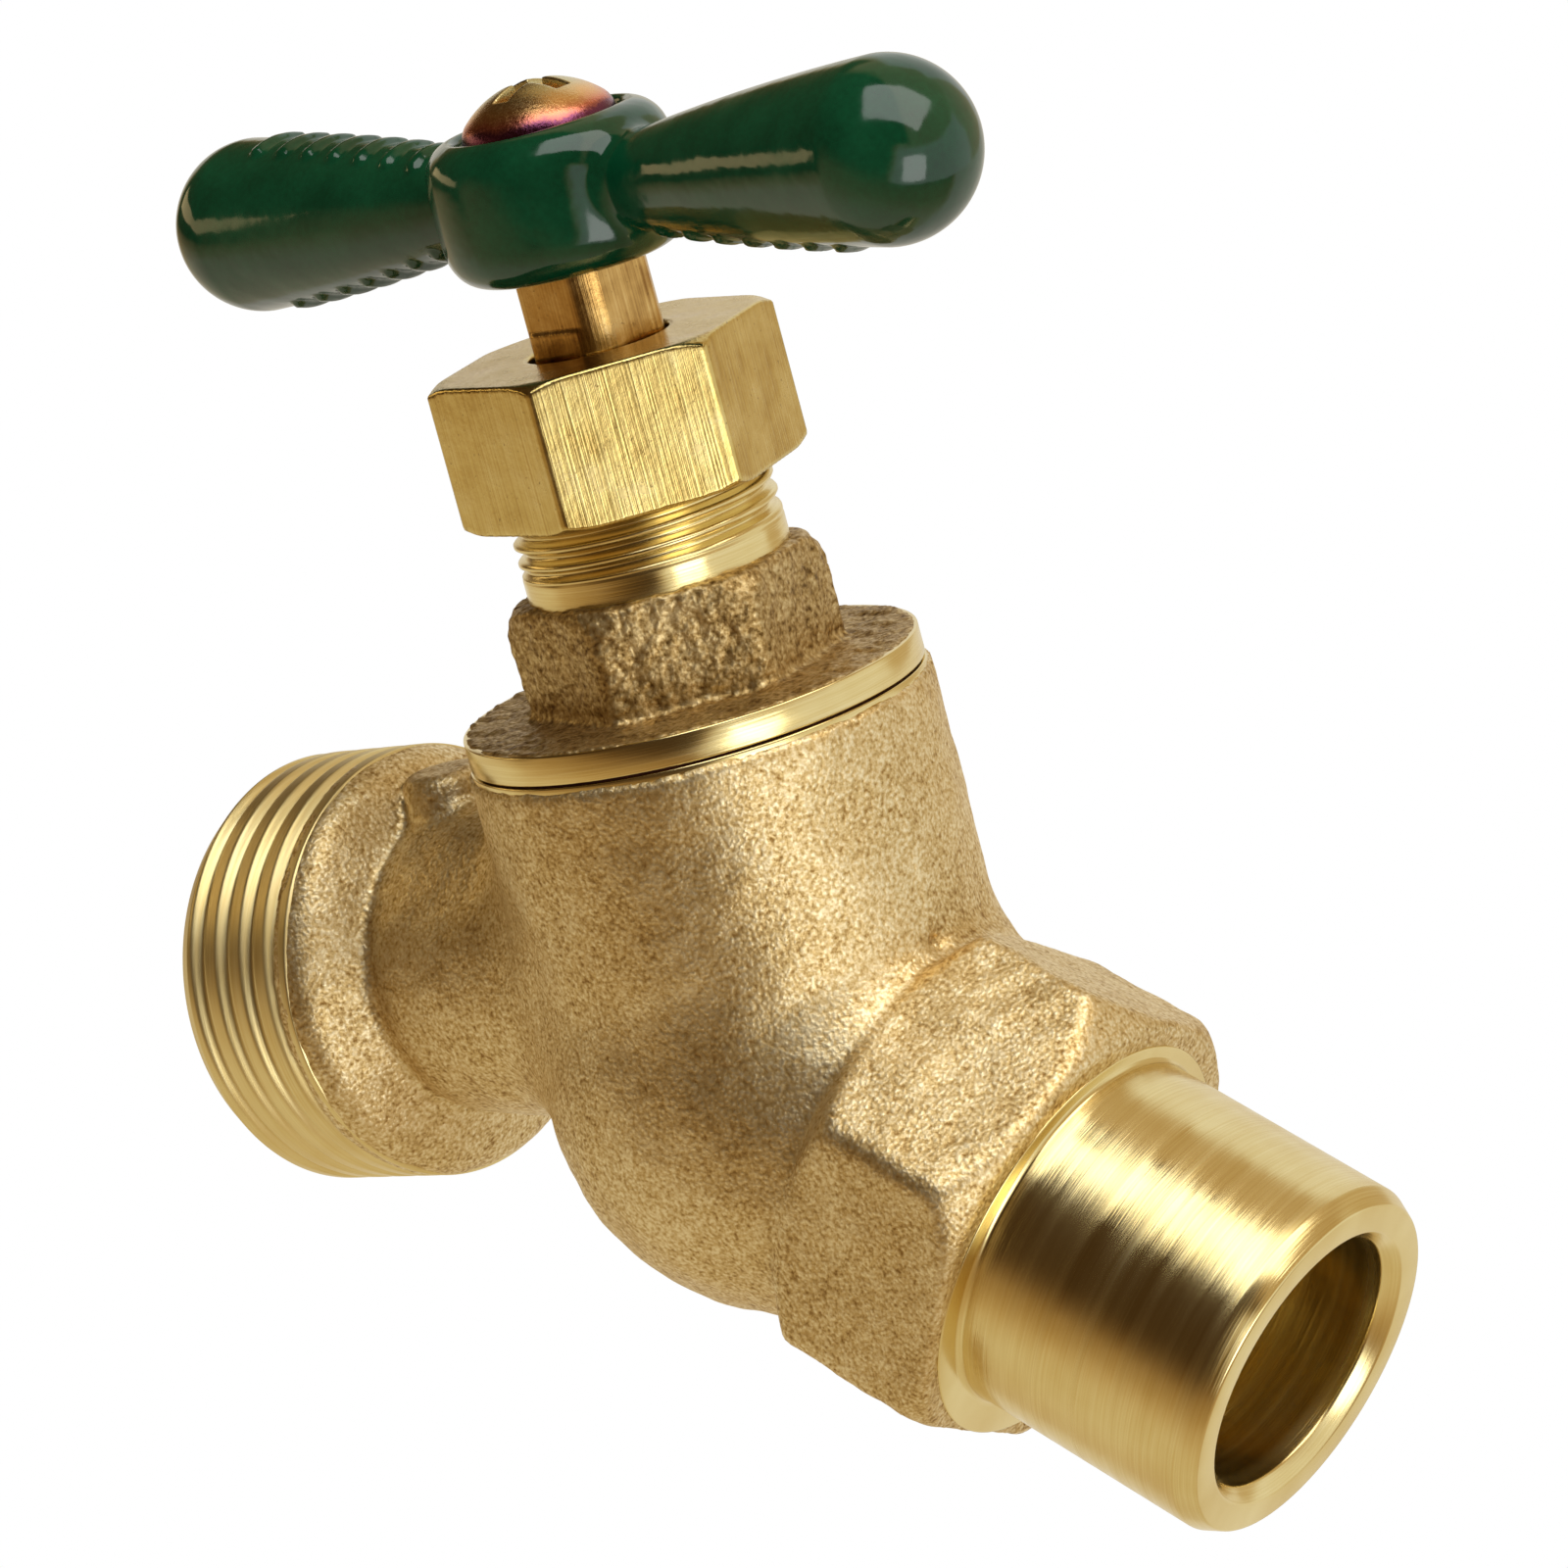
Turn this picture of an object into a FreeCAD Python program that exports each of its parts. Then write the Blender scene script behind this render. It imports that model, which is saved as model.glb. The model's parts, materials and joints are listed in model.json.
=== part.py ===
import FreeCAD, Part
import math
import operator
import os
import types

import Sketcher

# Hose bibb: a cast brass sill tap with a solder inlet, a hose thread and a rising stem under a tee handle.
# Every piece is drawn in the stem's frame: +Z up the stem, +X towards the hose outlet, and the plane
# between body and bonnet at zero. Its Placement then leans the stem forward over a level inlet pipe, with
# the origin at the centre of the inlet mouth, +X forward and +Z up. Sizes are in millimetres and degrees.

SIZES = {
    # How the three axes meet: the inlet and outlet axes cross the stem axis below the bonnet joint.
    "stem_lean": 30.0,
    "inlet_drop": 22.15,
    "outlet_drop": 14.3,
    "outlet_tilt": 1.4,

    # Inlet: a turned spigot for a 22 mm fitting, bored as a socket for 16 mm tube, behind a cast hexagon.
    "inlet_reach": 38.2,
    "spigot_radius": 11.1,
    "spigot_length": 16.6,
    "spigot_chamfer_run": 1.2,
    "spigot_chamfer_rise": 0.6,
    "socket_radius": 8.0,
    "socket_depth": 12.7,
    "socket_chamfer": 0.8,
    "inlet_bore_radius": 5.8,
    "inlet_hex_flats": 26.6,
    "inlet_hex_back_flats": 25.2,
    "inlet_hex_start": 7.5,
    "inlet_hex_land": 13.2,
    "inlet_hex_bevel": 1.4,

    # Body: a slightly tapered barrel over a round bowl.
    "joint_half_gap": 0.15,
    "rim_radius": 13.85,
    "rim_height": 0.35,
    "barrel_top_radius": 14.1,
    "bowl_radius": 14.9,
    "bowl_swell": 1.4,
    "bowl_drop": 22.35,
    "bowl_chamber_radius": 8.2,
    "bowl_wall": 2.6,

    # Seat: a raised ring around the port between the lower chamber and the upper one.
    "seat_drop": 17.9,
    "seat_port_radius": 4.8,
    "seat_rim_radius": 6.3,
    "seat_rim_height": 1.0,
    "bridge_thickness": 2.5,
    "upper_chamber_radius": 9.6,

    # Outlet: a cast neck, a shoulder and a collar with the hose thread.
    "neck_radius": 9.9,
    "collar_radius": 13.6,
    "collar_back": 26.2,
    "shoulder_run": 1.1,
    "hose_thread_start": 27.5,
    "outlet_reach": 37.2,
    "hose_thread_radius": 13.45,
    "hose_thread_pitch": 2.209,
    "hose_thread_depth": 0.95,
    "hose_groove_turns": 3.84,
    "hose_end_chamfer": 0.6,
    "outlet_mouth_radius": 9.2,
    "outlet_mouth_depth": 9.0,
    "outlet_bore_radius": 6.6,
    "outlet_cone_run": 3.0,
    "outlet_window_end": 13.0,
    "gate_stump_place": 22.5,
    "gate_stump_radius": 2.7,
    "gate_stump_height": 12.1,

    # Bonnet: a flange, a cast hexagon, a turned cone and a threaded neck that holds the packing.
    "bonnet_thread_radius": 11.0,
    "bonnet_thread_depth": 0.75,
    "bonnet_skirt_length": 7.0,
    "bonnet_undercut": 1.2,
    "flange_radius": 13.8,
    "flange_thickness": 1.77,
    "bonnet_hex_flats": 17.1,
    "bonnet_hex_height": 6.9,
    "bonnet_hex_bevel": 1.0,
    "bonnet_hex_turn": 43.8,
    "bonnet_cone_radius": 8.75,
    "bonnet_cone_height": 1.1,
    "neck_thread_radius": 7.9,
    "neck_thread_depth": 0.5,
    "fine_pitch": 1.411,
    "neck_thread_length": 8.4,
    "lift_chamber_radius": 8.0,
    "lift_chamber_depth": 2.8,
    "web_thickness": 2.3,
    "packing_box_radius": 5.9,
    "packing_box_depth": 7.6,

    # Gasket between body and bonnet.
    "gasket_radius": 13.3,

    # Packing nut: drawn hexagon bar.
    "nut_flats": 18.0,
    "nut_turn": 48.1,
    "nut_height": 8.85,
    "nut_overhang": 4.6,
    "nut_bevel_radius": 9.65,
    "nut_bevel_angle": 25.0,
    "nut_roof": 2.9,

    # Packing under the nut.
    "packing_washer_thickness": 0.8,
    "packing_ring_thickness": 1.8,

    # Stem: threaded foot, round shank and a squared top for the handle.
    "shank_radius": 3.98,
    "stem_thread_radius": 5.5,
    "stem_thread_depth": 0.75,
    "stem_thread_pitch": 2.54,
    "stem_thread_length": 9.6,
    "stem_foot_radius": 4.5,
    "stem_lift": 6.35,
    "stem_top": 34.8,
    "square_flats": 7.0,
    "square_turn": 0.7,
    "square_length": 14.4,

    # Disc holder: a cup that hangs in the stem's foot by a headed shank, with the washer and its screw.
    "seat_washer_thickness": 3.2,
    "seat_washer_radius": 6.4,
    "holder_radius": 7.2,
    "holder_cup_depth": 1.7,
    "holder_back": 1.8,
    "holder_shank_radius": 1.6,
    "holder_head_radius": 2.4,
    "holder_head_height": 1.2,
    "holder_neck_length": 2.8,
    "washer_screw_radius": 1.25,
    "washer_screw_length": 5.4,
    "washer_screw_head_radius": 3.0,
    "washer_screw_head_height": 1.5,
    "slot_width": 0.8,
    "slot_depth": 0.7,

    # Handle: a tee with a round hub and two swelling lobes.
    "handle_bottom": 27.2,
    "hub_radius": 7.3,
    "hub_bottom_round": 2.2,
    "hub_top": 36.0,
    "hub_top_round": 1.4,
    "hub_recess_depth": 0.8,
    "lobe_height": 31.85,
    "lobe_turn": 6.5,
    "lobe_root_radius": 3.0,
    "lobe_end_radius": 5.35,
    "handle_half_length": 33.7,

    # Handle screw: a domed head with a cross recess.
    "screw_head_radius": 4.8,
    "screw_head_edge": 1.2,
    "screw_dome_rise": 1.8,
    "screw_shank_radius": 2.0,
    "screw_length": 8.0,
    "cross_width": 0.95,
    "cross_span": 5.2,
    "cross_depth": 1.5,

    # Thread form and how far a cut reaches past what it cuts.
    "thread_flank": 28.0,
    "groove_overcut": 0.2,
    "cut_margin": 1.0,

    # Clearances.
    "running_clearance": 0.05,
    "thread_clearance": 0.12,
    "seat_clearance": 0.05,
    "swivel_play": 0.15,
    "screw_clearance": 0.06,
    "recess_clearance": 0.25,
}

DEGREE = math.pi / 180.0
OPERATIONS = {"+": operator.add, "-": operator.sub, "*": operator.mul, "/": operator.truediv}


class Size:
    """A value with the expression that ties a feature to the sheet, so that sums stay parametric."""

    def __init__(self, value, text):
        self.value = value
        self.text = text

    def joined(self, sign, other, swapped=False):
        other = as_size(other)
        left, right = (other, self) if swapped else (self, other)
        return Size(OPERATIONS[sign](left.value, right.value), f"({left.text} {sign} {right.text})")

    def __add__(self, other):
        return self.joined("+", other)

    def __radd__(self, other):
        return self.joined("+", other, swapped=True)

    def __sub__(self, other):
        return self.joined("-", other)

    def __rsub__(self, other):
        return self.joined("-", other, swapped=True)

    def __mul__(self, other):
        return self.joined("*", other)

    def __rmul__(self, other):
        return self.joined("*", other, swapped=True)

    def __truediv__(self, other):
        return self.joined("/", other)

    def __neg__(self):
        return self.joined("*", -1)


def as_size(number):
    return number if isinstance(number, Size) else Size(float(number), repr(number))


def sine(angle):
    return Size(math.sin(angle.value * DEGREE), f"sin({angle.text})")


def cosine(angle):
    return Size(math.cos(angle.value * DEGREE), f"cos({angle.text})")


def tangent(angle):
    return Size(math.tan(angle.value * DEGREE), f"tan({angle.text})")


def root(square):
    return Size(math.sqrt(square.value), f"sqrt({square.text})")


doc = FreeCAD.newDocument("hose_bibb")
sheet = doc.addObject("Spreadsheet::Sheet", "Sizes")
for row, (alias, number) in enumerate(SIZES.items(), start=1):
    sheet.set(f"A{row}", alias)
    sheet.set(f"B{row}", str(number))
    sheet.setAlias(f"B{row}", alias)
doc.recompute()
size = types.SimpleNamespace(**{name: Size(value, f"Sizes.{name}") for name, value in SIZES.items()})

# Places that several pieces share, all measured up the stem from the joint plane.
HEX_CORNER = math.sqrt(3.0)
body_top = -size.joint_half_gap
flange_bottom = size.joint_half_gap
flange_top = flange_bottom + size.flange_thickness
bonnet_hex_top = flange_top + size.bonnet_hex_height
neck_thread_bottom = bonnet_hex_top + size.bonnet_cone_height
bonnet_top = neck_thread_bottom + size.neck_thread_length
packing_floor = bonnet_top - size.packing_box_depth
web_bottom = packing_floor - size.web_thickness
nut_bottom = bonnet_top - size.nut_overhang
nut_top = nut_bottom + size.nut_height
nut_ceiling = nut_top - size.nut_roof
gland_top = nut_ceiling - size.seat_clearance
chamber_floor = -size.seat_drop - size.seat_rim_height
bridge_bottom = chamber_floor - size.bridge_thickness
skirt_bottom = flange_bottom - size.bonnet_skirt_length
lift_chamber_top = skirt_bottom + size.lift_chamber_depth
washer_bottom = -size.seat_drop + size.seat_clearance
washer_top = washer_bottom + size.seat_washer_thickness
holder_bottom = washer_top - size.holder_cup_depth
holder_top = washer_top + size.holder_back
foot_bottom = holder_top + size.swivel_play
holder_head_bottom = holder_top + size.holder_neck_length
holder_head_top = holder_head_bottom + size.holder_head_height
stem_thread_top = web_bottom - size.stem_lift - size.thread_clearance
stem_thread_bottom = stem_thread_top - size.stem_thread_length
recess_floor = size.hub_top - size.hub_recess_depth
inlet_hex_end = size.inlet_reach - size.spigot_length

# A port's axis falls away from the stem: its direction is (cos fall, 0, -sin fall).
Port = types.SimpleNamespace
inlet = Port(drop=size.inlet_drop, fall=180 - size.stem_lean)
outlet = Port(drop=size.outlet_drop, fall=size.outlet_tilt)


def new_body(label):
    """An empty body for one piece, already leaning over the inlet pipe."""
    body = doc.addObject("PartDesign::Body", label)
    body.Label = label
    body.Placement = FreeCAD.Placement(FreeCAD.Vector(), FreeCAD.Rotation(FreeCAD.Vector(0, 1, 0), 1))
    base_x = size.inlet_reach + size.inlet_drop * sine(size.stem_lean)
    base_z = size.inlet_drop * cosine(size.stem_lean)
    body.setExpression("Placement.Base.x", base_x.text)
    body.setExpression("Placement.Base.z", base_z.text)
    body.setExpression("Placement.Rotation.Angle", size.stem_lean.text)
    return body


def new_sketch(body, role, name, base=(None, None, None), axis=(0, 0, 1), angle=None):
    """A sketch on an origin plane of the body, moved by base and turned about axis in that plane's frame."""
    plane = [item for item in body.Origin.OriginFeatures if item.Role == role][0]
    sketch = body.newObject("Sketcher::SketchObject", name)
    sketch.AttachmentSupport = [(plane, "")]
    sketch.MapMode = "FlatFace"
    turn = FreeCAD.Rotation(FreeCAD.Vector(*axis), 1 if angle else 0)
    sketch.AttachmentOffset = FreeCAD.Placement(FreeCAD.Vector(), turn)
    for letter, distance in zip("xyz", base):
        if distance is not None:
            sketch.setExpression(f"AttachmentOffset.Base.{letter}", as_size(distance).text)
    if angle is not None:
        sketch.setExpression("AttachmentOffset.Rotation.Angle", angle.text)
    return sketch


def stem_sketch(body, name):
    """Half a section through the stem axis: across is the radius, up is the height."""
    return new_sketch(body, "XZ_Plane", name)


def port_sketch(body, name, port):
    """Half a section through a port's axis: across is the distance along it, up is the radius."""
    return new_sketch(body, "XZ_Plane", name, (None, -port.drop, None), (0, 0, -1), port.fall)


def cross_sketch(body, name, port, distance):
    """A sketch square to a port's axis, at a distance from the stem axis."""
    height = -port.drop - distance * sine(port.fall)
    reach = distance * cosine(port.fall)
    return new_sketch(body, "YZ_Plane", name, (None, height, reach), (1, 0, 0), port.fall)


def level_sketch(body, name, height):
    """A sketch square to the stem, at a height."""
    return new_sketch(body, "XY_Plane", name, (None, None, height))


def arc_through(start, end, radius, side):
    """The shorter arc between two points, bulging to the left of the way (side 1) or right (-1)."""
    chord = end - start
    middle = (start + end) * 0.5
    square = radius * radius - chord.Length * chord.Length / 4.0
    reach = math.sqrt(max(square, 0.0))
    normal = FreeCAD.Vector(-chord.y, chord.x, 0).normalize() * side
    top = middle + normal * (radius - reach)
    return Part.Arc(start, top, end)


def draw(sketch, corners):
    """A closed outline. A corner is (across, up), and (across, up, radius, side) where an arc leads on."""
    places = [FreeCAD.Vector(as_size(corner[0]).value, as_size(corner[1]).value, 0) for corner in corners]
    count = len(corners)
    starts = []
    for index, corner in enumerate(corners):
        start, end = places[index], places[(index + 1) % count]
        if len(corner) == 2:
            sketch.addGeometry(Part.LineSegment(start, end), False)
        else:
            sketch.addGeometry(arc_through(start, end, as_size(corner[2]).value, corner[3]), False)
        first = sketch.getPoint(len(sketch.Geometry) - 1, 1)
        starts.append(1 if first.distanceToPoint(start) < first.distanceToPoint(end) else 2)
    base = len(sketch.Geometry) - count
    for index, corner in enumerate(corners):
        here, following = base + index, base + (index + 1) % count
        begin = starts[index]
        leave = 3 - begin
        sketch.addConstraint(
            Sketcher.Constraint("Coincident", here, leave, following, starts[(index + 1) % count]))
        for kind, line, distance in (("DistanceX", -2, corner[0]), ("DistanceY", -1, corner[1])):
            distance = as_size(distance)
            if distance.text in ("0", "0.0"):
                sketch.addConstraint(Sketcher.Constraint("PointOnObject", here, begin, line))
            else:
                datum = sketch.addConstraint(
                    Sketcher.Constraint(kind, -1, 1, here, begin, distance.value))
                sketch.setExpression(f"Constraints[{datum}]", distance.text)
        if len(corner) == 4:
            radius = as_size(corner[2])
            datum = sketch.addConstraint(Sketcher.Constraint("Radius", here, radius.value))
            sketch.setExpression(f"Constraints[{datum}]", radius.text)


def turned(body, name, sketch, corners, axis="V_Axis", cut=False):
    """A solid of revolution from half a section, added to the body or cut from it."""
    draw(sketch, corners)
    feature = body.newObject("PartDesign::Groove" if cut else "PartDesign::Revolution", name)
    feature.Profile = sketch
    feature.ReferenceAxis = (sketch, [axis])
    feature.Angle = 360
    return feature


def turn_on_stem(body, name, corners, cut=False):
    return turned(body, name, stem_sketch(body, name + "_section"), corners, "V_Axis", cut)


def turn_on_port(body, name, port, corners, cut=False):
    return turned(body, name, port_sketch(body, name + "_section", port), corners, "H_Axis", cut)


def raised(body, name, sketch, corners, length, cut=False, reverse=False):
    """A prism from a flat outline, added to the body or cut from it."""
    draw(sketch, corners)
    feature = body.newObject("PartDesign::Pocket" if cut else "PartDesign::Pad", name)
    feature.Profile = sketch
    feature.Reversed = reverse
    feature.setExpression("Length", as_size(length).text)
    return feature


def raised_boss(body, name, sketch, across, radius, length):
    """A round boss whose centre lies on the sketch's across axis."""
    middle = FreeCAD.Vector(across.value, 0, 0)
    sketch.addGeometry(Part.Circle(middle, FreeCAD.Vector(0, 0, 1), radius.value), False)
    sketch.addConstraint(Sketcher.Constraint("PointOnObject", 0, 3, -1))
    for constraint, distance in (
            (Sketcher.Constraint("DistanceX", -1, 1, 0, 3, across.value), across),
            (Sketcher.Constraint("Radius", 0, radius.value), radius)):
        datum = sketch.addConstraint(constraint)
        sketch.setExpression(f"Constraints[{datum}]", distance.text)
    feature = body.newObject("PartDesign::Pad", name)
    feature.Profile = sketch
    feature.setExpression("Length", as_size(length).text)
    return feature


def hexagon(flats, turn=None):
    """Corners of a hexagon by its size across flats: two corners on the up axis, or turned by an angle."""
    corner = flats / HEX_CORNER
    if turn is None:
        half = flats / 2
        return [(0, corner), (-half, corner / 2), (-half, -corner / 2),
                (0, -corner), (half, -corner / 2), (half, corner / 2)]
    return [(corner * cosine(turn + 60 * step), corner * sine(turn + 60 * step)) for step in range(6)]


def rectangle(half_across, half_up):
    return [(-half_across, -half_up), (half_across, -half_up),
            (half_across, half_up), (-half_across, half_up)]


def cut_thread(body, name, sketch, axis, crest, depth, pitch, start, length, inside=False):
    """A right-hand thread: one groove cut along a helix. The groove is as wide as the ridge between two
    turns, plus the clearance, and its first turn is centred at start."""
    outwards = -1 if inside else 1
    lean = tangent(size.thread_flank)
    over = size.groove_overcut
    half_middle = pitch / 4 + size.thread_clearance / 2
    half_root = half_middle - depth / 2 * lean
    half_open = half_middle + (depth / 2 + over) * lean
    opening = crest + over * outwards
    bottom = crest - depth * outwards
    corners = [(opening, start - half_open), (bottom, start - half_root),
               (bottom, start + half_root), (opening, start + half_open)]
    if axis == "H_Axis":
        corners = [(up, across) for across, up in corners]
    draw(sketch, corners)
    feature = body.newObject("PartDesign::SubtractiveHelix", name)
    feature.Profile = sketch
    feature.ReferenceAxis = (sketch, [axis])
    feature.Mode = 0
    feature.setExpression("Pitch", pitch.text)
    feature.setExpression("Height", length.text)
    return feature


def make_valve_body():
    """The casting: barrel, bowl, hexagon, solder spigot and hose outlet, then what is bored out of it."""
    body = new_body("valve_body")
    foot_radius = size.bowl_radius - size.bowl_swell
    barrel_foot = -size.bowl_drop + root(size.bowl_radius * size.bowl_radius - foot_radius * foot_radius)
    turn_on_stem(body, "barrel", [
        (0, -size.bowl_drop - size.bowl_radius, size.bowl_radius, -1),
        (foot_radius, barrel_foot),
        (size.barrel_top_radius, body_top - size.rim_height),
        (size.rim_radius, body_top - size.rim_height),
        (size.rim_radius, body_top),
        (0, body_top)])

    back = cross_sketch(body, "hexagon_back", inlet, size.inlet_hex_start)
    draw(back, hexagon(size.inlet_hex_back_flats))
    front = cross_sketch(body, "hexagon_front", inlet, inlet_hex_end)
    draw(front, hexagon(size.inlet_hex_flats))
    loft = body.newObject("PartDesign::AdditiveLoft", "inlet_hexagon")
    loft.Profile = back
    loft.Sections = [front]
    loft.Ruled = True

    corner = size.inlet_hex_flats / HEX_CORNER
    turn_on_port(body, "hexagon_bevel", inlet, [
        (inlet_hex_end, size.inlet_hex_land),
        (inlet_hex_end, corner + size.cut_margin),
        (inlet_hex_end - size.inlet_hex_bevel, corner + size.cut_margin),
        (inlet_hex_end - size.inlet_hex_bevel, corner)], cut=True)
    mouth = size.inlet_reach
    turn_on_port(body, "spigot", inlet, [
        (inlet_hex_end - size.inlet_hex_bevel, 0),
        (mouth, 0),
        (mouth, size.spigot_radius - size.spigot_chamfer_rise),
        (mouth - size.spigot_chamfer_run, size.spigot_radius),
        (inlet_hex_end - size.inlet_hex_bevel, size.spigot_radius)])

    shoulder = size.collar_back + size.shoulder_run
    turn_on_port(body, "outlet_neck", outlet, [
        (size.upper_chamber_radius, 0),
        (size.outlet_reach, 0),
        (size.outlet_reach, size.hose_thread_radius - size.hose_end_chamfer),
        (size.outlet_reach - size.hose_end_chamfer, size.hose_thread_radius),
        (size.hose_thread_start, size.hose_thread_radius),
        (shoulder, size.collar_radius),
        (size.collar_back, size.collar_radius - size.shoulder_run / 2),
        (size.collar_back, size.neck_radius + size.shoulder_run),
        (size.collar_back - size.shoulder_run, size.neck_radius),
        (size.upper_chamber_radius, size.neck_radius)])

    stump = size.gate_stump_place
    stump_base = -size.outlet_drop - stump * tangent(size.outlet_tilt) + size.neck_radius / 2
    raised_boss(body, "gate_stump", level_sketch(body, "gate_stump_outline", stump_base), stump,
                size.gate_stump_radius, size.gate_stump_height - size.neck_radius / 2)

    # Upper chamber, open at the top for the bonnet, with a relief under its thread.
    minor = size.bonnet_thread_radius - size.bonnet_thread_depth + size.thread_clearance
    relief_radius = size.bonnet_thread_radius + 2 * size.thread_clearance
    relief_top = skirt_bottom
    relief_bottom = relief_top - size.bonnet_undercut
    turn_on_stem(body, "upper_chamber", [
        (0, chamber_floor),
        (size.upper_chamber_radius, chamber_floor),
        (size.upper_chamber_radius, relief_bottom),
        (relief_radius, relief_bottom),
        (relief_radius, relief_top),
        (minor, relief_top),
        (minor, body_top),
        (0, body_top)], cut=True)
    cut_thread(body, "bonnet_thread", stem_sketch(body, "bonnet_thread_groove"), "V_Axis", minor,
               size.bonnet_thread_depth, size.fine_pitch, relief_bottom + size.fine_pitch / 2,
               size.bonnet_skirt_length + size.bonnet_undercut + size.fine_pitch, inside=True)

    # Seat ring, with the port through it into the round chamber below.
    turn_on_stem(body, "seat_ring", [
        (size.seat_port_radius, bridge_bottom),
        (size.seat_rim_radius, bridge_bottom),
        (size.seat_rim_radius, -size.seat_drop),
        (size.seat_port_radius, -size.seat_drop)])
    chamber_bottom = -size.bowl_drop - size.bowl_radius + size.bowl_wall
    dome_start = chamber_bottom + size.bowl_chamber_radius
    turn_on_stem(body, "seat_port", [
        (0, chamber_bottom, size.bowl_chamber_radius, -1),
        (size.bowl_chamber_radius, dome_start),
        (size.bowl_chamber_radius, bridge_bottom),
        (size.seat_port_radius, bridge_bottom),
        (size.seat_port_radius, -size.seat_drop),
        (0, -size.seat_drop)], cut=True)

    # Waterways: from the solder socket into the lower chamber, and from the upper one out of the neck.
    socket_end = mouth - size.socket_depth
    turn_on_port(body, "inlet_waterway", inlet, [
        (size.bowl_chamber_radius, 0),
        (mouth, 0),
        (mouth, size.socket_radius + size.socket_chamfer),
        (mouth - size.socket_chamfer, size.socket_radius),
        (socket_end, size.socket_radius),
        (socket_end, size.inlet_bore_radius),
        (size.bowl_chamber_radius, size.inlet_bore_radius)], cut=True)
    window_radius = -size.outlet_drop - chamber_floor
    mouth_floor = size.outlet_reach - size.outlet_mouth_depth
    window_start = (size.seat_rim_radius + size.upper_chamber_radius) / 2
    turn_on_port(body, "outlet_waterway", outlet, [
        (window_start, 0),
        (size.outlet_reach, 0),
        (size.outlet_reach, size.outlet_mouth_radius),
        (mouth_floor, size.outlet_mouth_radius),
        (mouth_floor - size.outlet_cone_run, size.outlet_bore_radius),
        (size.outlet_window_end, size.outlet_bore_radius),
        (size.outlet_window_end, window_radius),
        (window_start, window_radius)], cut=True)

    cut_thread(body, "hose_thread", port_sketch(body, "hose_thread_groove", outlet), "H_Axis",
               size.hose_thread_radius, size.hose_thread_depth, size.hose_thread_pitch,
               size.outlet_reach - size.hose_groove_turns * size.hose_thread_pitch,
               size.hose_groove_turns * size.hose_thread_pitch + size.hose_thread_pitch)
    return body


def make_bonnet():
    """The casting that screws into the body: flange, hexagon, cone and the neck that holds the packing."""
    body = new_body("bonnet")
    root_radius = size.bonnet_thread_radius - size.bonnet_thread_depth
    undercut_radius = root_radius - size.thread_clearance
    turn_on_stem(body, "flange", [
        (0, skirt_bottom),
        (root_radius, skirt_bottom),
        (size.bonnet_thread_radius, skirt_bottom + size.bonnet_thread_depth),
        (size.bonnet_thread_radius, flange_bottom - size.bonnet_undercut),
        (undercut_radius, flange_bottom - size.bonnet_undercut),
        (undercut_radius, flange_bottom),
        (size.flange_radius, flange_bottom),
        (size.flange_radius, flange_top),
        (0, flange_top)])
    raised(body, "cast_hexagon", level_sketch(body, "cast_hexagon_outline", flange_top),
           hexagon(size.bonnet_hex_flats, size.bonnet_hex_turn), size.bonnet_hex_height)
    corner = size.bonnet_hex_flats / HEX_CORNER
    turn_on_stem(body, "hexagon_bevel", [
        (size.bonnet_cone_radius, bonnet_hex_top),
        (corner, bonnet_hex_top - size.bonnet_hex_bevel),
        (corner + size.cut_margin, bonnet_hex_top - size.bonnet_hex_bevel),
        (corner + size.cut_margin, bonnet_hex_top)], cut=True)
    turn_on_stem(body, "threaded_neck", [
        (0, flange_top),
        (size.bonnet_cone_radius, flange_top),
        (size.bonnet_cone_radius, bonnet_hex_top),
        (size.neck_thread_radius, neck_thread_bottom),
        (size.neck_thread_radius, bonnet_top - size.neck_thread_depth),
        (size.neck_thread_radius - size.neck_thread_depth, bonnet_top),
        (0, bonnet_top)])
    minor = size.stem_thread_radius - size.stem_thread_depth + size.thread_clearance
    relief = size.stem_thread_radius + 2 * size.thread_clearance
    relief_bottom = web_bottom - size.stem_thread_pitch / 2
    turn_on_stem(body, "stem_bore", [
        (0, skirt_bottom),
        (size.lift_chamber_radius, skirt_bottom),
        (size.lift_chamber_radius, lift_chamber_top),
        (minor, lift_chamber_top),
        (minor, relief_bottom),
        (relief, relief_bottom),
        (relief, web_bottom),
        (size.shank_radius + size.running_clearance, web_bottom),
        (size.shank_radius + size.running_clearance, packing_floor),
        (size.packing_box_radius, packing_floor),
        (size.packing_box_radius, bonnet_top),
        (0, bonnet_top)], cut=True)
    cut_thread(body, "skirt_thread", stem_sketch(body, "skirt_thread_groove"), "V_Axis",
               size.bonnet_thread_radius, size.bonnet_thread_depth, size.fine_pitch,
               skirt_bottom - size.bonnet_undercut, size.bonnet_skirt_length + size.bonnet_undercut / 2)
    cut_thread(body, "stem_thread", stem_sketch(body, "stem_thread_groove"), "V_Axis", minor,
               size.stem_thread_depth, size.stem_thread_pitch, stem_thread_bottom,
               relief_bottom - stem_thread_bottom + size.stem_thread_pitch / 4, inside=True)
    cut_thread(body, "neck_thread", stem_sketch(body, "neck_thread_groove"), "V_Axis",
               size.neck_thread_radius, size.neck_thread_depth, size.fine_pitch,
               neck_thread_bottom + size.fine_pitch, size.neck_thread_length)
    return body


def ring(label, inner, outer, bottom, top):
    """A plain ring around the stem."""
    body = new_body(label)
    turn_on_stem(body, label + "_ring", [(inner, bottom), (outer, bottom), (outer, top), (inner, top)])
    return body


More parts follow.
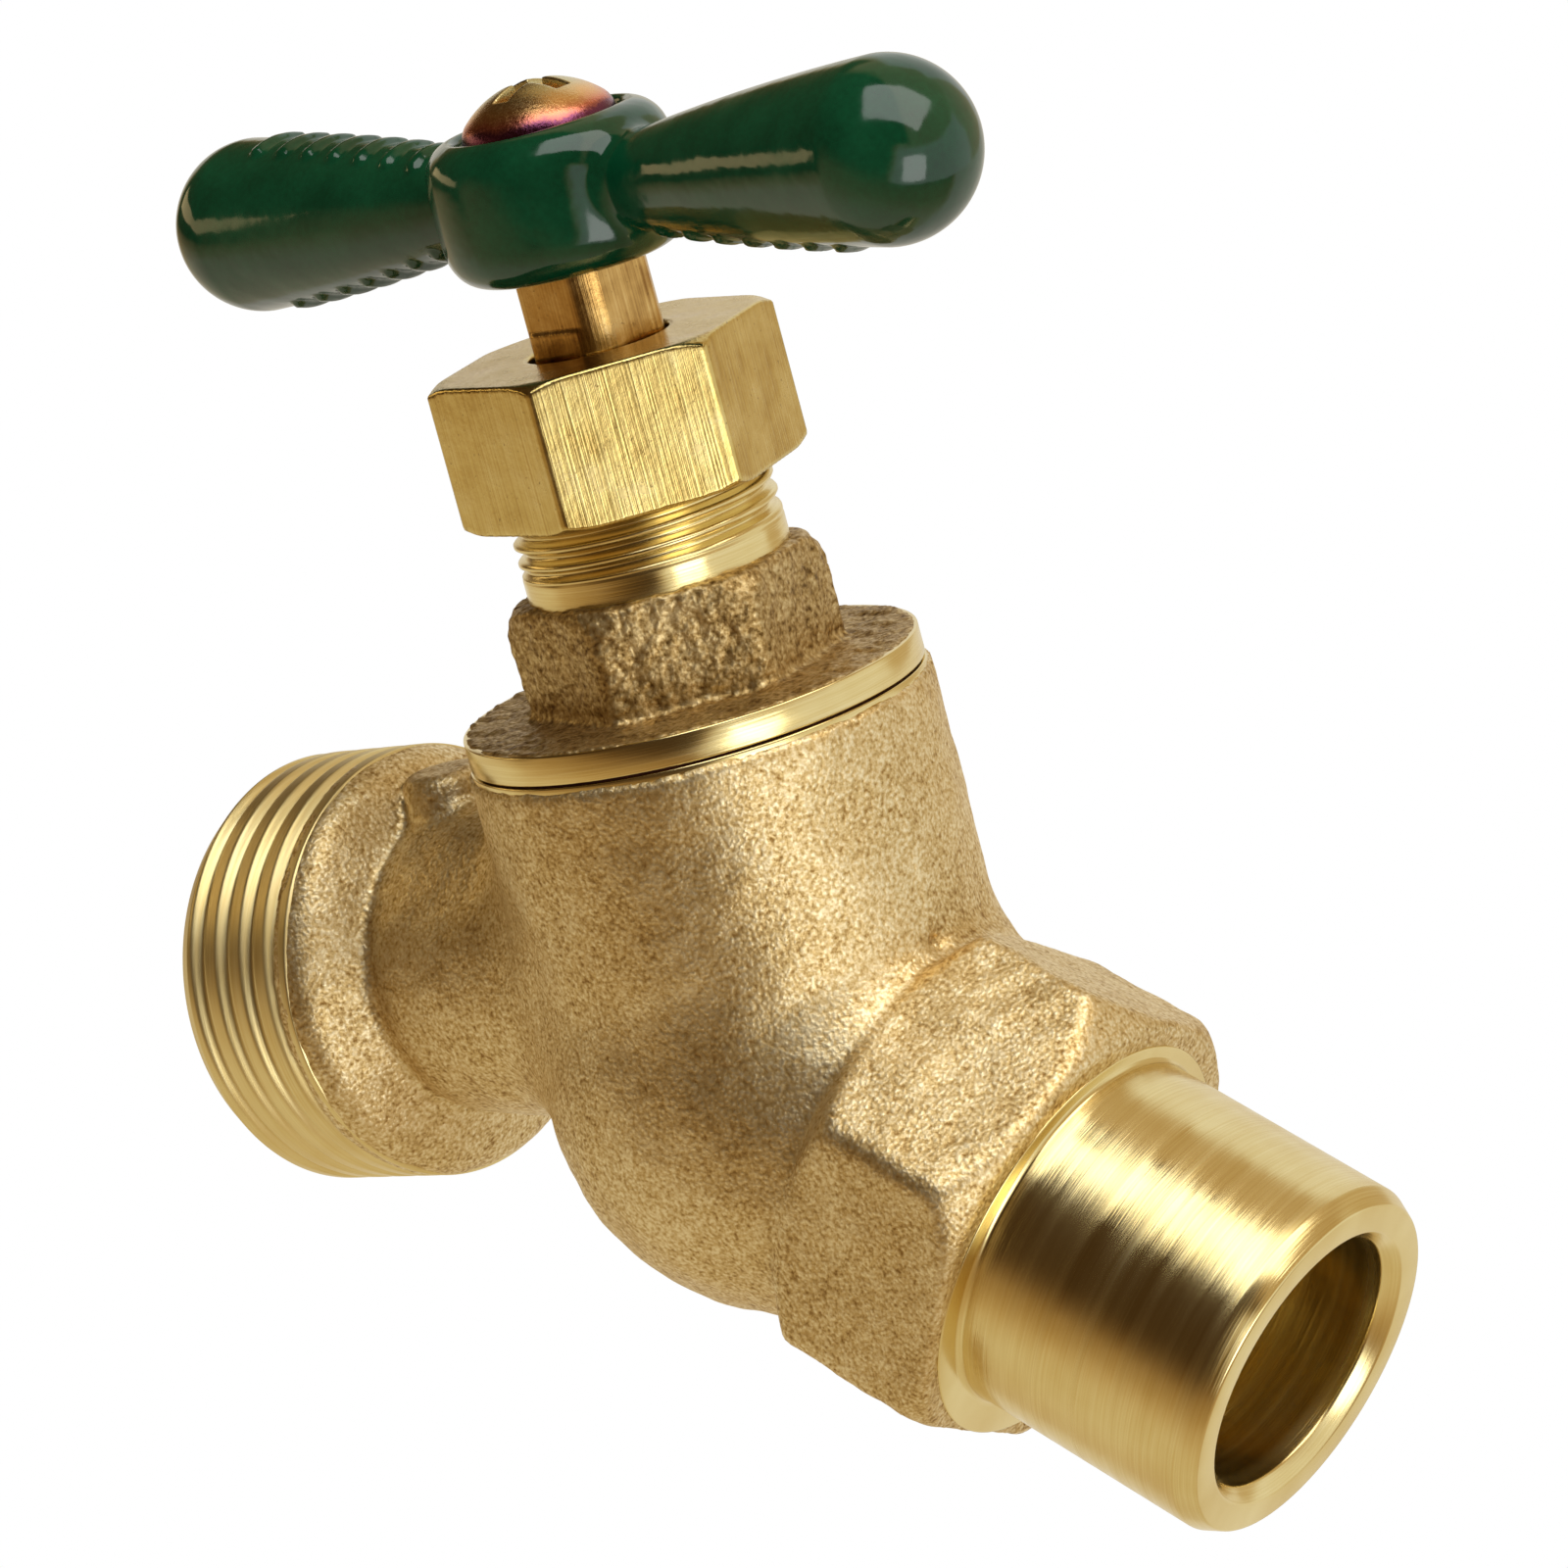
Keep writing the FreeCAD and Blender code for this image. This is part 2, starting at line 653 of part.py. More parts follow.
def make_packing_nut():
    """Hexagon bar, bored and threaded from below, with a roof that presses on the gland."""
    body = new_body("packing_nut")
    raised(body, "bar", level_sketch(body, "bar_outline", nut_bottom),
           hexagon(size.nut_flats, size.nut_turn), size.nut_height)
    edge = size.nut_flats
    drop = (edge - size.nut_bevel_radius) * tangent(size.nut_bevel_angle)
    turn_on_stem(body, "top_bevel", [
        (size.nut_bevel_radius, nut_top), (edge, nut_top - drop), (edge, nut_top)], cut=True)
    turn_on_stem(body, "bottom_bevel", [
        (size.nut_bevel_radius, nut_bottom), (edge, nut_bottom), (edge, nut_bottom + drop)], cut=True)
    minor = size.neck_thread_radius - size.neck_thread_depth + size.thread_clearance
    relief = size.neck_thread_radius + 2 * size.thread_clearance
    relief_bottom = nut_ceiling - size.fine_pitch / 2
    turn_on_stem(body, "nut_bore", [
        (0, nut_bottom),
        (relief, nut_bottom),
        (minor, nut_bottom + size.neck_thread_depth),
        (minor, relief_bottom),
        (relief, relief_bottom),
        (relief, nut_ceiling),
        (size.shank_radius + size.recess_clearance, nut_ceiling),
        (size.shank_radius + size.recess_clearance, nut_top),
        (0, nut_top)], cut=True)
    start = neck_thread_bottom + size.fine_pitch / 2
    cut_thread(body, "nut_thread", stem_sketch(body, "nut_thread_groove"), "V_Axis", minor,
               size.neck_thread_depth, size.fine_pitch, start, nut_ceiling - start, inside=True)
    return body


def make_gland():
    """The brass follower between nut and packing."""
    inner = size.shank_radius + size.running_clearance
    outer = size.packing_box_radius - size.running_clearance
    bottom = packing_floor + size.packing_washer_thickness + 2 * size.packing_ring_thickness
    body = new_body("packing_gland")
    collar = size.neck_thread_radius - size.neck_thread_depth
    turn_on_stem(body, "follower", [
        (inner, bottom),
        (outer, bottom),
        (outer, bonnet_top + size.running_clearance),
        (collar, bonnet_top + size.running_clearance),
        (collar, gland_top),
        (inner, gland_top)])
    return body


def square_section(flats, radius, turn):
    """Corners of a round bar with four flats, each round stretch an arc."""
    half = flats / 2
    run = root(radius * radius - half * half)
    corners = []
    for step in range(4):
        angle = turn + 90 * step
        across, up = cosine(angle), sine(angle)
        corners.append((half * across + run * up, half * up - run * across))
        corners.append((half * across - run * up, half * up + run * across, radius, -1))
    return corners


def make_stem():
    """Turned from one bar: a foot that holds the disc, the lifting thread, the shank and a squared top."""
    body = new_body("stem")
    crest = size.stem_thread_radius
    depth = size.stem_thread_depth
    turn_on_stem(body, "bar", [
        (0, foot_bottom),
        (size.stem_foot_radius, foot_bottom),
        (size.stem_foot_radius, stem_thread_bottom),
        (crest - depth, stem_thread_bottom),
        (crest, stem_thread_bottom + depth),
        (crest, stem_thread_top - depth),
        (crest - depth, stem_thread_top),
        (size.shank_radius, stem_thread_top),
        (size.shank_radius, size.stem_top),
        (0, size.stem_top)])
    square_bottom = size.stem_top - size.square_length
    turn_on_stem(body, "square_blank", [
        (0, square_bottom),
        (size.shank_radius + size.cut_margin, square_bottom),
        (size.shank_radius + size.cut_margin, size.stem_top),
        (0, size.stem_top)], cut=True)
    raised(body, "squared_top", level_sketch(body, "squared_top_outline", square_bottom),
           square_section(size.square_flats, size.shank_radius, -size.square_turn), size.square_length)
    hole = size.screw_shank_radius + size.screw_clearance
    turn_on_stem(body, "handle_screw_hole", [
        (0, recess_floor - size.screw_length - 2 * size.screw_shank_radius),
        (hole, recess_floor - size.screw_length - size.screw_shank_radius),
        (hole, size.stem_top),
        (0, size.stem_top)], cut=True)
    cavity_bottom = holder_head_bottom - size.swivel_play
    cavity_top = holder_head_top + size.swivel_play
    turn_on_stem(body, "swivel_socket", [
        (0, foot_bottom),
        (size.holder_shank_radius + size.running_clearance, foot_bottom),
        (size.holder_shank_radius + size.running_clearance, cavity_bottom),
        (size.holder_head_radius + size.running_clearance, cavity_bottom),
        (size.holder_head_radius + size.running_clearance, cavity_top),
        (0, cavity_top)], cut=True)
    cut_thread(body, "lifting_thread", stem_sketch(body, "lifting_thread_groove"), "V_Axis", crest, depth,
               size.stem_thread_pitch, stem_thread_bottom - size.stem_thread_pitch / 2,
               size.stem_thread_length + size.stem_thread_pitch)
    return body


def make_disc_holder():
    """A cup for the washer on a headed shank that turns freely in the stem's foot."""
    body = new_body("disc_holder")
    cup = size.seat_washer_radius + size.running_clearance
    turn_on_stem(body, "cup", [
        (size.washer_screw_radius + size.screw_clearance, washer_top),
        (cup, washer_top),
        (cup, holder_bottom),
        (size.holder_radius, holder_bottom),
        (size.holder_radius, holder_top - size.swivel_play),
        (size.holder_radius - size.swivel_play, holder_top),
        (size.holder_shank_radius, holder_top),
        (size.holder_shank_radius, holder_head_bottom),
        (size.holder_head_radius, holder_head_bottom),
        (size.holder_head_radius, holder_head_top),
        (0, holder_head_top),
        (0, washer_bottom + size.washer_screw_length),
        (size.washer_screw_radius + size.screw_clearance, washer_bottom + size.washer_screw_length)])
    return body


def make_washer_screw():
    """A slotted screw up through the washer."""
    body = new_body("washer_screw")
    head_bottom = washer_bottom - size.washer_screw_head_height
    turn_on_stem(body, "screw", [
        (0, head_bottom),
        (size.washer_screw_head_radius - size.slot_depth / 2, head_bottom),
        (size.washer_screw_head_radius, head_bottom + size.slot_depth / 2),
        (size.washer_screw_head_radius, washer_bottom),
        (size.washer_screw_radius, washer_bottom),
        (size.washer_screw_radius, washer_bottom + size.washer_screw_length - size.swivel_play),
        (0, washer_bottom + size.washer_screw_length - size.swivel_play)])
    raised(body, "slot", level_sketch(body, "slot_outline", head_bottom),
           rectangle(size.washer_screw_head_radius + size.cut_margin, size.slot_width / 2), size.slot_depth,
           cut=True, reverse=True)
    return body


def make_handle():
    """A round hub with two lobes that swell to round ends, flattened a little above and below."""
    body = new_body("handle")
    bottom, top = size.handle_bottom, size.hub_top
    low, high = size.hub_bottom_round, size.hub_top_round
    turn_on_stem(body, "hub", [
        (0, bottom),
        (size.hub_radius - low, bottom, low, -1),
        (size.hub_radius, bottom + low),
        (size.hub_radius, top - high, high, -1),
        (size.hub_radius - high, top),
        (0, top)])
    bar = new_sketch(body, "XZ_Plane", "lobe_section", (None, size.lobe_height, None), (0, -1, 0),
                     size.lobe_turn)
    tip, end = size.handle_half_length, size.handle_half_length - size.lobe_end_radius
    turned(body, "lobes", bar, [
        (-tip, 0),
        (tip, 0, size.lobe_end_radius, -1),
        (end, size.lobe_end_radius),
        (0, size.lobe_root_radius),
        (-end, size.lobe_end_radius, size.lobe_end_radius, -1)], axis="H_Axis")
    raised(body, "square_hole", level_sketch(body, "square_hole_outline", bottom),
           square_section(size.square_flats + 2 * size.running_clearance,
                          size.shank_radius + size.running_clearance, -size.square_turn),
           recess_floor - bottom, cut=True, reverse=True)
    recess = size.screw_head_radius + size.recess_clearance
    turn_on_stem(body, "screw_recess", [
        (0, recess_floor), (recess, recess_floor), (recess, top), (0, top)], cut=True)
    return body


def make_handle_screw():
    """A domed screw with a cross recess that clamps the handle to the stem."""
    body = new_body("handle_screw")
    edge_top = recess_floor + size.screw_head_edge
    rise, reach = size.screw_dome_rise, size.screw_head_radius
    dome_radius = (reach * reach + rise * rise) / (2 * rise)
    turn_on_stem(body, "screw", [
        (0, recess_floor - size.screw_length),
        (size.screw_shank_radius, recess_floor - size.screw_length),
        (size.screw_shank_radius, recess_floor),
        (reach, recess_floor),
        (reach, edge_top, dome_radius, -1),
        (0, edge_top + rise)])
    for name, across, up in (("recess", size.cross_span / 2, size.cross_width / 2),
                             ("recess_crossing", size.cross_width / 2, size.cross_span / 2)):
        raised(body, name, level_sketch(body, name + "_outline", edge_top + rise), rectangle(across, up),
               size.cross_depth, cut=True)
    return body


shank_bore = size.shank_radius + size.running_clearance
packing_bore = size.packing_box_radius - size.running_clearance
rings_bottom = packing_floor + size.packing_washer_thickness
rings_middle = rings_bottom + size.packing_ring_thickness

pieces = [
    make_valve_body(),
    ring("bonnet_gasket", size.bonnet_thread_radius + size.recess_clearance, size.gasket_radius,
         body_top, flange_bottom),
    make_bonnet(),
    ring("packing_washer", shank_bore, packing_bore, packing_floor, rings_bottom),
    ring("lower_packing_ring", shank_bore, packing_bore, rings_bottom, rings_middle),
    ring("upper_packing_ring", shank_bore, packing_bore, rings_middle,
         rings_middle + size.packing_ring_thickness),
    make_gland(),
    make_packing_nut(),
    make_stem(),
    make_disc_holder(),
    ring("seat_washer", size.washer_screw_radius + size.screw_clearance, size.seat_washer_radius,
         washer_bottom, washer_top),
    make_washer_screw(),
    make_handle(),
    make_handle_screw(),
]
doc.recompute()

for item in doc.Objects:
    if "Invalid" in item.State or "Error" in item.State:
        raise RuntimeError(f"{item.Name} did not build: {item.State}")
os.makedirs("parts", exist_ok=True)
for piece in pieces:
    shape = piece.Shape
    if shape.isNull() or not shape.isValid() or len(shape.Solids) != 1:
        raise RuntimeError(f"{piece.Label} is not one valid solid")
    print(f"{piece.Label}: {shape.Volume:.1f} mm3")
    shape.exportStep(f"parts/{piece.Label}.step")
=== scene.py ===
# %% [markdown]
# # A hose bibb in Blender
# A hose bibb is the garden tap on a house wall. Its body is a brass casting, and only the faces that
# have to fit something are turned afterwards: the solder spigot, the hose thread, the joint under the
# bonnet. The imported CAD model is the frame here. It gives every size and every moving body, and this
# script dresses it: rounded cast shapes, real threads, edges that catch the light, and finishes.

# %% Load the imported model
import json
import math

import bpy
import numpy as np
from mathutils import Matrix, Vector


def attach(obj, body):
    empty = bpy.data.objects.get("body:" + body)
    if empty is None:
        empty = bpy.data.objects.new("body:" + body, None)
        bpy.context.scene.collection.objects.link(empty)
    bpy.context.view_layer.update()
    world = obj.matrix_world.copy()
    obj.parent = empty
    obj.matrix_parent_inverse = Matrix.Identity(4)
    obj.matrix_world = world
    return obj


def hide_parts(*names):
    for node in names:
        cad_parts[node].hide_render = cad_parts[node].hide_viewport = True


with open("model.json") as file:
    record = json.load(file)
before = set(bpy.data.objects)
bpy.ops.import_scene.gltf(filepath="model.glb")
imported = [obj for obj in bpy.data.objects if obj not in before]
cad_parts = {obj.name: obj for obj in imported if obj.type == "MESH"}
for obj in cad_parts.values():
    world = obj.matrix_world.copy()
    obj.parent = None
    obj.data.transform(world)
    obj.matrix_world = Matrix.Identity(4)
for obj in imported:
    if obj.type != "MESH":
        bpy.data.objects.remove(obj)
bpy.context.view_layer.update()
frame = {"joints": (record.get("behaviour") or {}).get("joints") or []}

# %% [markdown]
# ## Two frames of reference
# The stem leans 30 degrees over the level inlet pipe. It is far easier to describe a tap upright, so
# shapes are described in millimetres in the stem's own frame: Z up the stem, X towards the outlet, and
# zero where the bonnet meets the body. One matrix then takes finished points to the model's frame.

# %% The stem's frame
MM = 0.001
turn = [joint for joint in frame["joints"] if joint["name"] == "handle_turn"][0]
stem_base = np.array(turn["pos_m"])
stem_up = np.array(turn["axis"])
stem_side = np.array([0.0, 1.0, 0.0])
stem_forward = np.cross(stem_side, stem_up)
STEM_FRAME = np.stack([stem_forward, stem_side, stem_up])
STEM_LEAN = math.atan2(stem_up[0], stem_up[2])
INLET_DROP, OUTLET_DROP = 22.15, 14.3
OUTLET_TILT = math.radians(1.4)
inlet_centre = np.array([0.0, 0.0, -INLET_DROP])
inlet_axis = np.array([-math.cos(STEM_LEAN), 0.0, -math.sin(STEM_LEAN)])
outlet_centre = np.array([0.0, 0.0, -OUTLET_DROP])
outlet_axis = np.array([math.cos(OUTLET_TILT), 0.0, -math.sin(OUTLET_TILT)])
UP = np.array([0.0, 0.0, 1.0])
STEM_CENTRE = np.zeros(3)


def heading(degrees):
    """A direction square to the stem, counted from the outlet's side."""
    around = math.radians(degrees)
    return np.array([math.cos(around), math.sin(around), 0.0])


def to_model(points):
    """Millimetres in the stem's frame to metres in the model's frame."""
    return stem_base + (points * MM) @ STEM_FRAME


print("the stem leans", round(math.degrees(STEM_LEAN), 2), "degrees")

# %% [markdown]
# ## A mesh from points and faces
# Blender needs only points and the lists of points that make each face. Every piece ends here: its
# points are already in the model's frame, so its object stays at the origin, unturned and unscaled.

# %% From numbers to an object
def make_object(name, points, faces, finish=None):
    mesh = bpy.data.meshes.new(name)
    mesh.from_pydata(points.tolist(), [], faces.tolist())
    mesh.update()
    mesh.shade_smooth()
    if finish:
        mesh.materials.append(finish)
    piece = bpy.data.objects.new(name, mesh)
    bpy.context.scene.collection.objects.link(piece)
    print(f"{name}: {len(faces)} faces")
    return piece


# %% [markdown]
# ## Cast shapes as distance fields
# A casting has no sharp inside corner: where two bodies of metal meet, the pattern maker adds a fillet.
# A distance field says for any point how far the surface is, with a minus sign inside the metal. Joining
# two fields with a soft minimum gives exactly such a fillet, and a soft maximum rounds an outside edge.
# That is why the cast pieces are made this way and not by cutting and bevelling meshes.

# %% Distances
def about(points, centre=STEM_CENTRE, axis=UP):
    """How far along an axis each point lies, and how far away from it; the stem's, if none is given."""
    offset = points - centre
    along = offset @ axis
    away = np.linalg.norm(offset - along[:, None] * axis, axis=1)
    return along, away


def soft_min(a, b, fillet):
    blend = np.maximum(fillet - np.abs(a - b), 0.0) / fillet
    return np.minimum(a, b) - blend * blend * fillet * 0.25


def soft_max(a, b, edge):
    return -soft_min(-a, -b, edge)


def outline_distance(across, up, corners):
    """Signed distance to a closed outline in a plane."""
    best = np.full(across.shape, np.inf)
    sign = np.ones(across.shape)
    for (x0, y0), (x1, y1) in zip(corners, corners[1:] + corners[:1]):
        edge_x, edge_y = x1 - x0, y1 - y0
        to_x, to_y = across - x0, up - y0
        share = np.clip((to_x * edge_x + to_y * edge_y) / (edge_x**2 + edge_y**2), 0.0, 1.0)
        best = np.minimum(best, (to_x - share * edge_x) ** 2 + (to_y - share * edge_y) ** 2)
        above, below, left = up >= y0, up < y1, edge_x * to_y > edge_y * to_x
        sign = np.where((above & below & left) | (~above & ~below & ~left), -sign, sign)
    return sign * np.sqrt(best)


# %% [markdown]
# ## Surface nets
# To turn a field into a mesh, it is sampled on a grid. Each grid cell that the surface passes through
# gets one point, and points of neighbouring cells join into four-sided faces. A few rounds of relaxing
# and stepping back along the field's slope then put every point on the true surface.

# %% Mesh a field
AXIS_STEPS = np.eye(3, dtype=int)
CELL_CORNERS = [np.array([i, j, k]) for i in (0, 1) for j in (0, 1) for k in (0, 1)]
CELL_EDGES = [(a, b) for a in CELL_CORNERS for b in CELL_CORNERS if (b - a).sum() == 1 and (b - a).min() == 0]
LEAST_SLOPE, NO_LENGTH = 0.05, 1e-9


def slope(field, points, reach=0.01):
    return np.stack([(field(points + reach * e) - field(points - reach * e)) / (2 * reach)
                     for e in np.eye(3)], axis=1)


def settle(field, points, longest, rounds=2):
    """Steps points along the slope until they lie on the surface."""
    for _ in range(rounds):
        away = slope(field, points)
        step = field(points)[:, None] * away / np.maximum((away * away).sum(1), LEAST_SLOPE)[:, None]
        length = np.linalg.norm(step, axis=1)[:, None]
        points = points - step * np.minimum(1.0, longest / np.maximum(length, NO_LENGTH))
    return points


def relax(points, faces):
    """Moves each point halfway to the middle of its neighbours."""
    total, count = np.zeros_like(points), np.zeros(len(points))
    for one, other in ((0, 1), (1, 2), (2, 3), (3, 0)):
        for a, b in ((one, other), (other, one)):
            for axis in range(3):
                total[:, axis] += np.bincount(faces[:, a], points[faces[:, b], axis], len(points))
            count += np.bincount(faces[:, a], minlength=len(points))
    return 0.5 * points + 0.5 * total / count[:, None]


def surface(field, box, step, rounds=2):
    """The field's zero surface; the box has to hold all of it, or the mesh stays open."""
    low = np.array(box[0], float)
    axes = [np.arange(a, b + step, step) for a, b in zip(low, box[1])]
    shape = [len(axis) for axis in axes]
    value = np.empty(shape)
    for index, x in enumerate(axes[0]):
        plane = np.stack(np.meshgrid([x], axes[1], axes[2], indexing="ij"), -1).reshape(-1, 3)
        value[index] = field(plane).reshape(shape[1:])
    inside = value < 0
    whole = [n - 1 for n in shape]
    filled = sum(inside[c[0]:whole[0] + c[0], c[1]:whole[1] + c[1], c[2]:whole[2] + c[2]].astype(int)
                 for c in CELL_CORNERS)
    cells = np.argwhere((filled > 0) & (filled < len(CELL_CORNERS)))
    number = np.full(whole, -1)
    number[tuple(cells.T)] = np.arange(len(cells))
    total, count = np.zeros((len(cells), 3)), np.zeros(len(cells))
    for a, b in CELL_EDGES:
        first, second = value[tuple((cells + a).T)], value[tuple((cells + b).T)]
        crossed = (first < 0) != (second < 0)
        share = np.where(crossed, first / np.where(crossed, first - second, 1.0), 0.0)
        total += np.where(crossed[:, None], a + share[:, None] * (b - a), 0.0)
        count += crossed
    points = low + (cells + total / count[:, None]) * step
    faces = []
    for axis, (u, v) in enumerate(((1, 2), (2, 0), (0, 1))):
        near = np.take(inside, range(whole[axis]), axis)
        far = np.take(inside, range(1, shape[axis]), axis)
        edges = np.argwhere(near != far)
        edges = edges[(edges[:, u] > 0) & (edges[:, v] > 0)]
        edges = edges[(edges[:, u] < whole[u]) & (edges[:, v] < whole[v])]
        across, up = AXIS_STEPS[u], AXIS_STEPS[v]
        ring = [number[tuple((edges - s).T)] for s in (across + up, up, 0 * up, across)]
        quads = np.stack(ring, axis=1)
        outward = near[tuple(edges.T)]
        faces.append(np.where(outward[:, None], quads, quads[:, ::-1]))
    faces = np.concatenate(faces)
    points = settle(field, points, step)
    for _ in range(rounds):
        points = settle(field, relax(points, faces), step)
    return points, faces


# %% [markdown]
# ## The unevenness of a casting
# Sand gives a cast skin a soft waviness as well as its grain. The waves are real shape here: each point
# moves in or out by a sum of plane waves in random directions, from a fixed seed, so the skin is the
# same at each run. The grain itself is finer than the mesh, and the material draws it.

# %% Waves in the skin
WAVE_STRETCH = (0.7, 1.4)


def waves(points, length, seed, count=28):
    random = np.random.default_rng(seed)
    direction = random.normal(size=(count, 3))
    direction /= np.linalg.norm(direction, axis=1)[:, None]
    stretch = random.uniform(*WAVE_STRETCH, count)
    start = random.uniform(0, 2 * math.pi, count)
    total = np.zeros(len(points))
    for way, rate, phase in zip(direction, stretch, start):
        total += np.sin(points @ way * (2 * math.pi * rate / length) + phase)
    return total * math.sqrt(2.0 / count)


def roughen(field, points, bands):
    """Moves points along the surface's outward direction by waves of (length, height, seed)."""
    away = slope(field, points)
    away /= np.linalg.norm(away, axis=1)[:, None]
    height = sum(high * waves(points, length, seed) for length, high, seed in bands)
    return points + away * height[:, None]


# %% [markdown]
# ## The body casting
# Barrel, bowl, outlet neck with its shoulder, and the hexagon that a wrench holds while the tap is
# soldered or screwed on. The hexagon tapers a little, because the pattern has to leave the sand, and
# its corners are round. On top of the neck sits the stump of the gate, where the metal ran in.

# %% The outside of the casting
BARREL_HEIGHTS = [-40.0, -17.0, -14.1, -8.1, -2.7, -0.5]
BARREL_RADII = [13.5, 13.52, 13.6, 13.92, 14.1, 14.08]
SWELL_HEIGHTS, SWELL, SWELL_REACH = [-19.0, -14.0, -5.0], [0.4, 0.4, 0.0], 10.0
BOWL_CENTRE, BOWL_RADIUS = np.array([0.0, 0.0, -22.35]), 14.78
BODY_TOP = -0.4
HEX_START, HEX_END = 9.7, 21.5
HEX_INNER_START, HEX_INNER_END, HEX_EDGE = 13.2, 13.4, 0.8
BACK_BEVEL, BACK_BEVEL_SLOPE = 13.2, (0.8, 0.6)
FRONT_BEVEL, FRONT_BEVEL_SLOPE = 13.95, (0.66, 0.75)
BEVEL_EDGE, FACE_EDGE = 0.5, 0.3
INLET_NECK, INLET_NECK_OVERLAP = 12.8, 3.0
FACING_SHIFT = 0.7


def hexagon_distance(points, centre, axis, corner_way, inner, edge):
    """Distance from a hexagon round an axis, with a corner on corner_way."""
    offset = points - centre
    side_way = np.cross(axis, corner_way)
    up, side = np.abs(offset @ corner_way), np.abs(offset @ side_way)
    slanted = up * math.cos(math.pi / 6) + side * 0.5
    return soft_max(side - inner, slanted - inner, edge)


def cone(along, place, away, radius, slope):
    """Distance from a cone that has the radius at a place along its axis."""
    return (along - place) * slope[0] + (away - radius) * slope[1]


inlet_up = np.cross(stem_side, inlet_axis)


def barrel(points):
    height, away = about(points)
    swell = np.interp(height, SWELL_HEIGHTS, SWELL) * np.clip(-points[:, 0] / SWELL_REACH, 0.0, 1.0)
    wall = away - np.interp(height, BARREL_HEIGHTS, BARREL_RADII) - swell
    return np.maximum(np.maximum(wall, height - BODY_TOP), BOWL_CENTRE[2] - height)


def bowl(points):
    return np.linalg.norm(points - BOWL_CENTRE, axis=1) - BOWL_RADIUS


def inlet_neck(points):
    along, away = about(points, inlet_centre, inlet_axis)
    return np.maximum(away - INLET_NECK, np.maximum(-along, along - HEX_START - INLET_NECK_OVERLAP))


def inlet_hexagon(points):
    along, away = about(points, inlet_centre, inlet_axis)
    share = np.clip((along - HEX_START) / (HEX_END - HEX_START), 0.0, 1.0)
    inner = HEX_INNER_START + (HEX_INNER_END - HEX_INNER_START) * share
    flats = hexagon_distance(points, inlet_centre, inlet_axis, inlet_up, inner, HEX_EDGE)
    start = cone(-along, -HEX_START, away, BACK_BEVEL, BACK_BEVEL_SLOPE)
    shifted = about(points, inlet_centre - FACING_SHIFT * inlet_up, inlet_axis)[1]
    bevel = cone(along, HEX_END, shifted, FRONT_BEVEL, FRONT_BEVEL_SLOPE)
    front = soft_max(bevel, along - HEX_END, FACE_EDGE)
    return soft_max(soft_max(flats, start, BEVEL_EDGE), front, BEVEL_EDGE)


COLLAR_SHIFT, COLLAR_RADIUS = np.array([0.0, 0.0, -0.15]), 13.45
SHOULDER_ROOT, SHOULDER_ROOT_RADIUS, SHOULDER_END = 24.7, 10.8, 28.2
SHOULDER_LEAN, SHOULDER_STEEPNESS = 0.6, 0.86
SHOULDER_BACK_EDGE, SHOULDER_FRONT_EDGE = 1.3, 0.4


def shoulder(points):
    along, away = about(points, outlet_centre + COLLAR_SHIFT, outlet_axis)
    back = (SHOULDER_ROOT + SHOULDER_LEAN * (away - SHOULDER_ROOT_RADIUS) - along) * SHOULDER_STEEPNESS
    disc = soft_max(away - COLLAR_RADIUS, back, SHOULDER_BACK_EDGE)
    return soft_max(disc, along - SHOULDER_END, SHOULDER_FRONT_EDGE)


STUMP_PLACE, STUMP_RADIUS, STUMP_HEIGHT, STUMP_FOOT = 22.5, 2.7, 12.1, 6.0
STUMP_TOP_EDGE, STUMP_FOOT_EDGE = 1.1, 0.5
stump_centre = outlet_centre + STUMP_PLACE * outlet_axis


def gate_stump(points):
    height, away = about(points, stump_centre, UP)
    top = soft_max(away - STUMP_RADIUS, height - STUMP_HEIGHT, STUMP_TOP_EDGE)
    return soft_max(top, STUMP_FOOT - height, STUMP_FOOT_EDGE)


PARTING_HEIGHT, PARTING_WIDTH = 0.14, 0.45
PIT_CENTRE, PIT_RADIUS = np.array([-14.5, 0.55, -14.7]), 0.6
NECK_PLACES, NECK_RADII, NECK_END = [12.0, 18.0, 22.0, 25.0], [10.1, 10.1, 9.85, 9.2], 28.0
FILLET = {"bowl": 1.6, "stump": 1.4, "shoulder": 0.3, "arm": 3.0, "inlet": 2.0, "hexagon": 0.35, "pit": 0.3}


def casting_outside(points):
    along, away = about(points, outlet_centre, outlet_axis)
    neck = np.maximum(away - np.interp(along, NECK_PLACES, NECK_RADII),
                      np.maximum(-along, along - NECK_END))
    parting = PARTING_HEIGHT * np.exp(-(points[:, 1] / PARTING_WIDTH) ** 2) * (points[:, 0] < -SWELL_REACH)
    pot = soft_min(barrel(points) - parting, bowl(points), FILLET["bowl"])
    pot = np.maximum(pot, points[:, 2] - BODY_TOP)
    arm = soft_min(neck, gate_stump(points), FILLET["stump"])
    arm = soft_min(arm, shoulder(points), FILLET["shoulder"])
    body = soft_min(soft_min(pot, arm, FILLET["arm"]), inlet_neck(points), FILLET["inlet"])
    body = soft_min(body, inlet_hexagon(points), FILLET["hexagon"])
    body = soft_max(body, PIT_RADIUS - np.linalg.norm(points - PIT_CENTRE, axis=1), FILLET["pit"])
    return np.maximum(body, points[:, 2] - BODY_TOP)


# %% [markdown]
# ## The waterway
# The casting is hollow: water comes in under the seat, rises through the round port when the washer
# lifts, and leaves by the neck. The hollow follows the CAD model's chambers.

